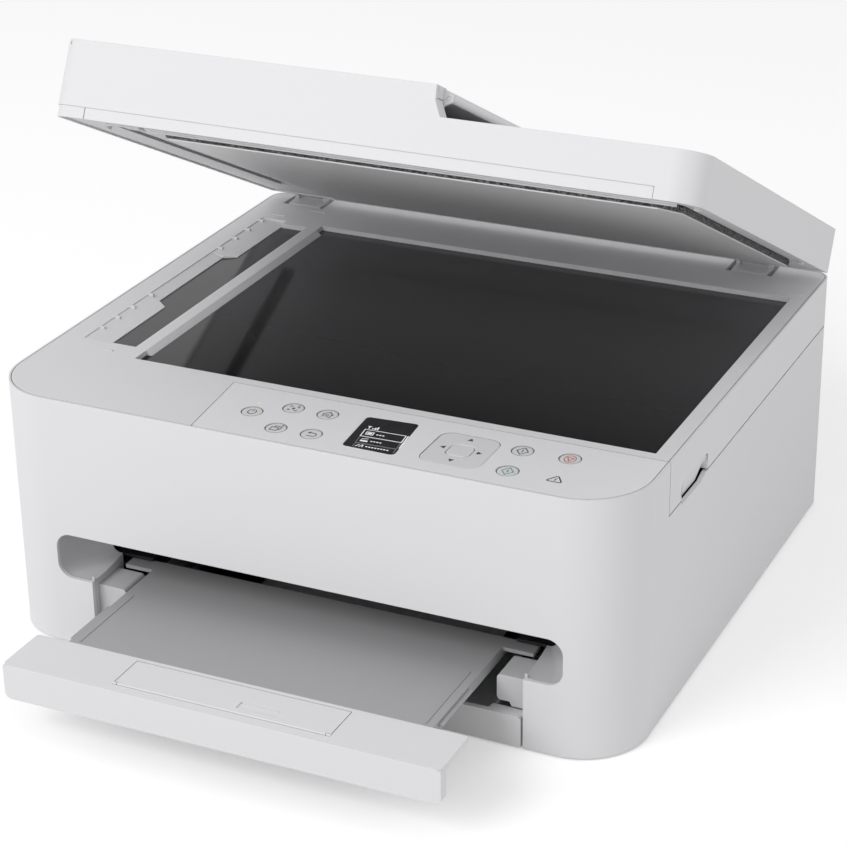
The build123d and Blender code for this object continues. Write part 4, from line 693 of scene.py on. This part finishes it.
@dataclass
class Panel:
    """Keys, display and the pictograms of the operation panel."""

    keys: dict[str, tuple[float, float]] = field(
        default_factory=lambda: {
            "power": (-37.1, -143.2),
            "code": (-18.5, -130.8),
            "home": (2.1, -130.8),
            "copy": (-15.5, -156.6),
            "back": (5.2, -156.0),
            "start_mono": (114.9, -130.8),
            "start_colour": (117.0, -155.5),
            "stop": (140.9, -129.8),
        }
    )
    gap_radius: float = 6.0

    def build(self) -> None:
        """Dresses the keys and prints their marks."""
        for key in self.keys:
            dress(f"{key}_button", plastic(KEY_WHITE))
        dress("direction_pad", plastic(KEY_WHITE))
        dress("centre_button", plastic(KEY_WHITE))
        dress("display_window", plastic(WINDOW_BLACK))
        marks: dict[str, Callable[[Pictogram], None]] = {
            "power": self.power,
            "code": self.code,
            "home": self.home,
            "copy": self.copy,
            "back": self.back,
            "start_mono": self.start,
            "start_colour": self.start,
            "stop": self.stop,
        }
        inks = {
            "start_colour": flat_ink("green ink", (0.05, 0.30, 0.20)),
            "stop": flat_ink("red ink", (0.55, 0.10, 0.07)),
        }
        grey = flat_ink("grey ink", (0.055, 0.055, 0.06))
        for key, draw in marks.items():
            mark = Pictogram(
                f"{key}_mark", self.keys[key], KEY_TOP + PRINT_LIFT, f"{key}_button_key", "key_plastic",
                inks.get(key, grey), 0.5, (1.05, 0.0), (0.0, 1.35),
            )
            draw(mark)
            mark.make()
        # Painted shadow: a dark ring round each key stands in for the shade in its gap
        self.painted_gap_shadow_lines(flat_ink("gap shade", (0.16, 0.16, 0.165)))
        self.colour_bar(grey)
        self.arrows(grey)
        self.alarm(flat_ink("dark ink", (0.02, 0.02, 0.022)))
        self.lamp(flat_ink("lamp yellow", (0.78, 0.75, 0.46), 0.15))
        self.display()

    def painted_gap_shadow_lines(self, ink: bpy.types.Material) -> None:
        """A painted shadow: the dark line that the shaded gap round each round key shows, printed on the
        panel.
        """
        for key, place in self.keys.items():
            line = Pictogram(f"{key}_gap", place, BED_Z + PRINT_LIFT, "base", "white_plastic", ink, 0.34)
            line.stroke(ring((0, 0), self.gap_radius, 0, 352.5, 47), closed=True)
            line.make()

    def colour_bar(self, ink: bpy.types.Material) -> None:
        """The dark bar inside the green diamond."""
        mark = Pictogram(
            "start_colour_bar", self.keys["start_colour"], KEY_TOP + PRINT_LIFT,
            "start_colour_button_key", "key_plastic", ink, 0.6,
        )
        mark.stroke(((0, -1.2), (0, 1.2)))
        mark.make()

    def arrows(self, ink: bpy.types.Material) -> None:
        """Four triangles on the direction pad that point away from its middle."""
        mark = Pictogram(
            "direction_marks", (85.1, -142.3), KEY_TOP + PRINT_LIFT, "direction_pad_key", "key_plastic", ink
        )
        for quarter in range(4):
            turn = math.radians(90 * quarter)
            reach = 10.4 if quarter % 2 == 0 else 13.2
            ahead = np.array((math.cos(turn), math.sin(turn)))
            aside = np.array((-ahead[1], ahead[0]))
            back = ahead * (reach - 1.4)
            mark.fill((ahead * (reach + 1.6), back + aside * 1.7, back - aside * 1.7))
        mark.make()

    def alarm(self, ink: bpy.types.Material) -> None:
        """A triangle with rounded corners round a small bolt."""
        place = ((143.0, -154.9), BED_Z + PRINT_LIFT)
        mark = Pictogram("alarm_mark", *place, "base", "white_plastic", ink, 0.75)
        corners = ((-3.0, -2.0, 150, 270), (3.0, -2.0, 270, 390), (0.0, 2.7, 30, 150))
        rim = [ring((x, y), 0.8, start, end, 6) for x, y, start, end in corners]
        mark.stroke(np.concatenate(rim), closed=True)
        mark.width = 0.45
        mark.stroke(((0.5, 1.6), (-0.4, 0.0), (0.4, -0.3), (-0.3, -1.7)))
        mark.make()

    def lamp(self, ink: bpy.types.Material) -> None:
        """The small lamp behind the power key."""
        mark = Pictogram("power_lamp", (-38.5, -132.2), BED_Z + PRINT_LIFT, "base", "white_plastic", ink)
        mark.fill(ring((0, 0), 0.9, 0, 345, 23))
        mark.make()

    def display(self) -> None:
        """What the display shows: a signal mark, a list of three framed rows and a scroll bar.

        The rows lean with the display, so the marks are drawn along its own two directions.
        """
        bright = flat_ink("display white", (0.85, 0.85, 0.86), 0.2)
        dim = flat_ink("display grey", (0.20, 0.20, 0.21), 0.1)
        sheet = {"along": (1.0, 0.035), "upward": (-0.12, 1.0)}
        place = ((28.6, -139.2), WINDOW_TOP + PRINT_LIFT, "base", "window_black")
        lit = Pictogram("display_marks", *place, bright, 0.55, **sheet)
        for x, height in ((3.2, 1.3), (4.5, 2.3), (5.8, 3.3)):
            lit.bar(x, x + 0.9, 1.2, 1.2 + height)
        lit.stroke(((0.4, 4.4), (1.4, 3.2), (2.4, 4.4)))
        lit.stroke(((1.4, 4.4), (1.4, 1.2)))
        lit.frame(0.0, 23.4, -8.2, 0.0)
        lit.bar(24.3, 25.0, -15.2, 0.2)
        lit.frame(2.0, 6.0, -5.6, -2.4)
        lit.bar(2.8, 5.2, -4.9, -3.1)
        lit.bar(1.8, 6.0, -14.2, -12.6)
        lit.stroke(((1.9, -11.4), (5.6, -10.4)))
        lit.stroke(((1.6, -20.6), (3.2, -17.9)))
        lit.stroke(((3.4, -20.6), (5.0, -17.9)))
        lit.stroke(((5.3, -20.6), (5.3, -17.9)))
        for start, end, level in ((7.8, 12.6, -4.2), (7.4, 12.8, -12.6), (7.0, 19.0, -19.4)):
            for x in np.arange(start, end, 1.7):
                lit.bar(x, x + 1.15, level - 0.5, level + 0.5)
        lit.make()
        rows = Pictogram("display_rows", *place, dim, 0.4, **sheet)
        rows.frame(0.2, 23.4, -16.2, -8.8)
        rows.stroke(((0.4, -21.4), (0.4, -16.8), (23.4, -16.8), (23.4, -21.4)))
        rows.make()

    def power(self, mark: Pictogram) -> None:
        """An open ring with a bar in its gap."""
        mark.stroke(ring((0, 0), 2.1, 120, 420))
        mark.stroke(((0, 0.4), (0, 2.7)))

    def code(self, mark: Pictogram) -> None:
        """Four corner brackets round a square dot, and a dot above."""
        for sx, sy in ((-1, -1), (-1, 1), (1, -1), (1, 1)):
            mark.stroke(((sx * 2.4, sy * 0.8), (sx * 2.4, sy * 1.8), (sx * 1.1, sy * 1.8)))
        mark.bar(-0.7, 0.7, -0.7, 0.7)
        mark.bar(1.2, 2.0, 2.6, 3.4)

    def home(self, mark: Pictogram) -> None:
        """A house with two lines inside."""
        mark.stroke(((-3.0, 0.0), (0, 2.6), (3.0, 0.0)))
        mark.stroke(((-2.1, 0.5), (-2.1, -2.2)))
        mark.stroke(((2.1, 0.5), (2.1, -2.2), (1.2, -2.2)))
        for x in (-0.7, 0.5):
            mark.stroke(((x, 0.6), (x, -1.9)))

    def copy(self, mark: Pictogram) -> None:
        """Two stacked sheets with a dot above them."""
        mark.frame(-2.6, 1.2, -2.0, 0.6)
        mark.stroke(((-1.3, 0.6), (-1.3, 1.8), (2.4, 1.8), (2.4, -0.8), (1.2, -0.8)))
        mark.bar(1.7, 2.6, 2.6, 3.5)

    def back(self, mark: Pictogram) -> None:
        """An arrow that turns back."""
        mark.stroke(((-1.9, -1.6), (1.2, -1.6)))
        mark.stroke(ring((1.2, -0.2), 1.4, -90, 90, 12))
        mark.stroke(((1.2, 1.2), (-1.5, 1.2)))
        mark.fill(((-2.7, 1.2), (-1.1, 0.2), (-1.1, 2.2)))

    def start(self, mark: Pictogram) -> None:
        """A diamond, with a bar inside it on the grey key."""
        mark.stroke(((-3.0, 0), (0, -3.0), (3.0, 0), (0, 3.0)), closed=True)
        if mark.name.startswith("start_mono"):
            mark.stroke(((0, -1.2), (0, 1.2)))

    def stop(self, mark: Pictogram) -> None:
        """A triangle in a ring."""
        mark.stroke(ring((0, 0), 2.9, 0, 345, 23), closed=True)
        mark.stroke(((-1.7, 1.0), (1.7, 1.0), (0, -1.8)), closed=True)


@dataclass
class Studio:
    """Floor, soft light and the camera at the photograph's angle."""

    camera_at: tuple[float, float, float] = (0.560, -1.1945, 0.7039)
    azimuth: float = 25.242
    elevation: float = 24.942
    roll: float = -0.01348
    lens: float = 105.16

    def build(self) -> None:
        """Makes the camera, the lights, the world and the floor."""
        self.camera()
        self.world()
        self.floor()
        self.lamp("key", (-1.1, -2.3, 1.9), 1.6, 39.0)
        self.lamp("fill", (2.4, -0.6, 1.2), 1.4, 6.0)

    def camera(self) -> None:
        """A camera that looks down along its back axis, with its measured roll."""
        a = math.radians(self.azimuth)
        e = math.radians(self.elevation)
        back = Vector((math.sin(a) * math.cos(e), -math.cos(a) * math.cos(e), math.sin(e)))
        right = Vector((math.cos(a), math.sin(a), 0.0))
        up = back.cross(right)
        c = math.cos(self.roll)
        s = math.sin(self.roll)
        turned = c * right + s * up
        raised = -s * right + c * up
        data = bpy.data.cameras.new("camera")
        data.lens = self.lens
        data.sensor_width = 36.0
        camera = bpy.data.objects.new("camera", data)
        turn = Matrix((turned, raised, back)).transposed().to_4x4()
        camera.matrix_world = Matrix.Translation(self.camera_at) @ turn
        bpy.context.scene.collection.objects.link(camera)
        bpy.context.scene.camera = camera

    def lamp(self, name: str, place: tuple[float, float, float], size: float, power: float) -> None:
        """A soft square lamp that faces the object.

        Args:
            name: the lamp's name.
            place: where it hangs, in metres.
            size: its side.
            power: its power in watts.
        """
        data = bpy.data.lights.new(name, "AREA")
        data.size = size
        data.energy = power
        lamp = bpy.data.objects.new(name, data)
        lamp.location = place
        lamp.rotation_euler = (Vector((0, 0, 0.12)) - Vector(place)).to_track_quat("-Z", "Y").to_euler()
        bpy.context.scene.collection.objects.link(lamp)

    def seen_directly(self, tree: bpy.types.NodeTree) -> bpy.types.NodeSocket:
        """One where a ray comes from the camera, a mirror face or glass.

        Args:
            tree: the node tree to add to.

        Returns:
            The value's socket.
        """
        path = tree.nodes.new("ShaderNodeLightPath")
        both = tree.nodes.new("ShaderNodeMath")
        both.operation = "MAXIMUM"
        tree.links.new(path.outputs["Is Camera Ray"], both.inputs[0])
        tree.links.new(path.outputs["Is Transmission Ray"], both.inputs[1])
        every = tree.nodes.new("ShaderNodeMath")
        every.operation = "MAXIMUM"
        tree.links.new(both.outputs[0], every.inputs[0])
        tree.links.new(path.outputs["Is Glossy Ray"], every.inputs[1])
        return every.outputs[0]

    def world(self) -> None:
        """White where it is seen, and a softer even light where it lights the object."""
        world = bpy.data.worlds.new("studio")
        bpy.context.scene.world = world
        world.use_nodes = True
        tree = world.node_tree
        shade = tree.nodes["Background"]
        shade.inputs["Color"].default_value = (1.0, 1.0, 1.0, 1.0)
        strength = tree.nodes.new("ShaderNodeMapRange")
        strength.inputs["To Min"].default_value = 0.56
        strength.inputs["To Max"].default_value = 1.0
        tree.links.new(self.seen_directly(tree), strength.inputs["Value"])
        tree.links.new(strength.outputs["Result"], shade.inputs["Strength"])

    def floor(self) -> None:
        """A wide pale floor that keeps the object's soft shadow."""
        size = 6.0
        mesh = bpy.data.meshes.new("floor")
        corners = [(-size, -size, 0), (size, -size, 0), (size, size, 0), (-size, size, 0)]
        mesh.from_pydata(corners, [], [(0, 1, 2, 3)])
        floor = bpy.data.objects.new("floor", mesh)
        bpy.context.scene.collection.objects.link(floor)
        material, shader, tree = principled("floor")
        shader.inputs["Base Color"].default_value = (0.86, 0.86, 0.86, 1.0)
        shader.inputs["Roughness"].default_value = 1.0
        shader.inputs["Specular IOR Level"].default_value = 0.0
        shader.inputs["Emission Color"].default_value = (1.0, 1.0, 1.0, 1.0)
        glow = tree.nodes.new("ShaderNodeMath")
        glow.operation = "MULTIPLY"
        glow.inputs[1].default_value = 0.34
        tree.links.new(self.seen_directly(tree), glow.inputs[0])
        tree.links.new(glow.outputs[0], shader.inputs["Emission Strength"])
        mesh.materials.append(material)


def main() -> None:
    """Builds every sub-assembly and the studio."""
    logging.basicConfig(level=logging.INFO, format="%(name)s %(message)s")
    bpy.context.scene.view_settings.view_transform = "Standard"
    for part in (Casing(), Glass(), Engine(), PaperPath(), Lid(), Panel(), Studio()):
        part.build()
        log.info("%s done", type(part).__name__)


if __name__ == "__main__":
    main()
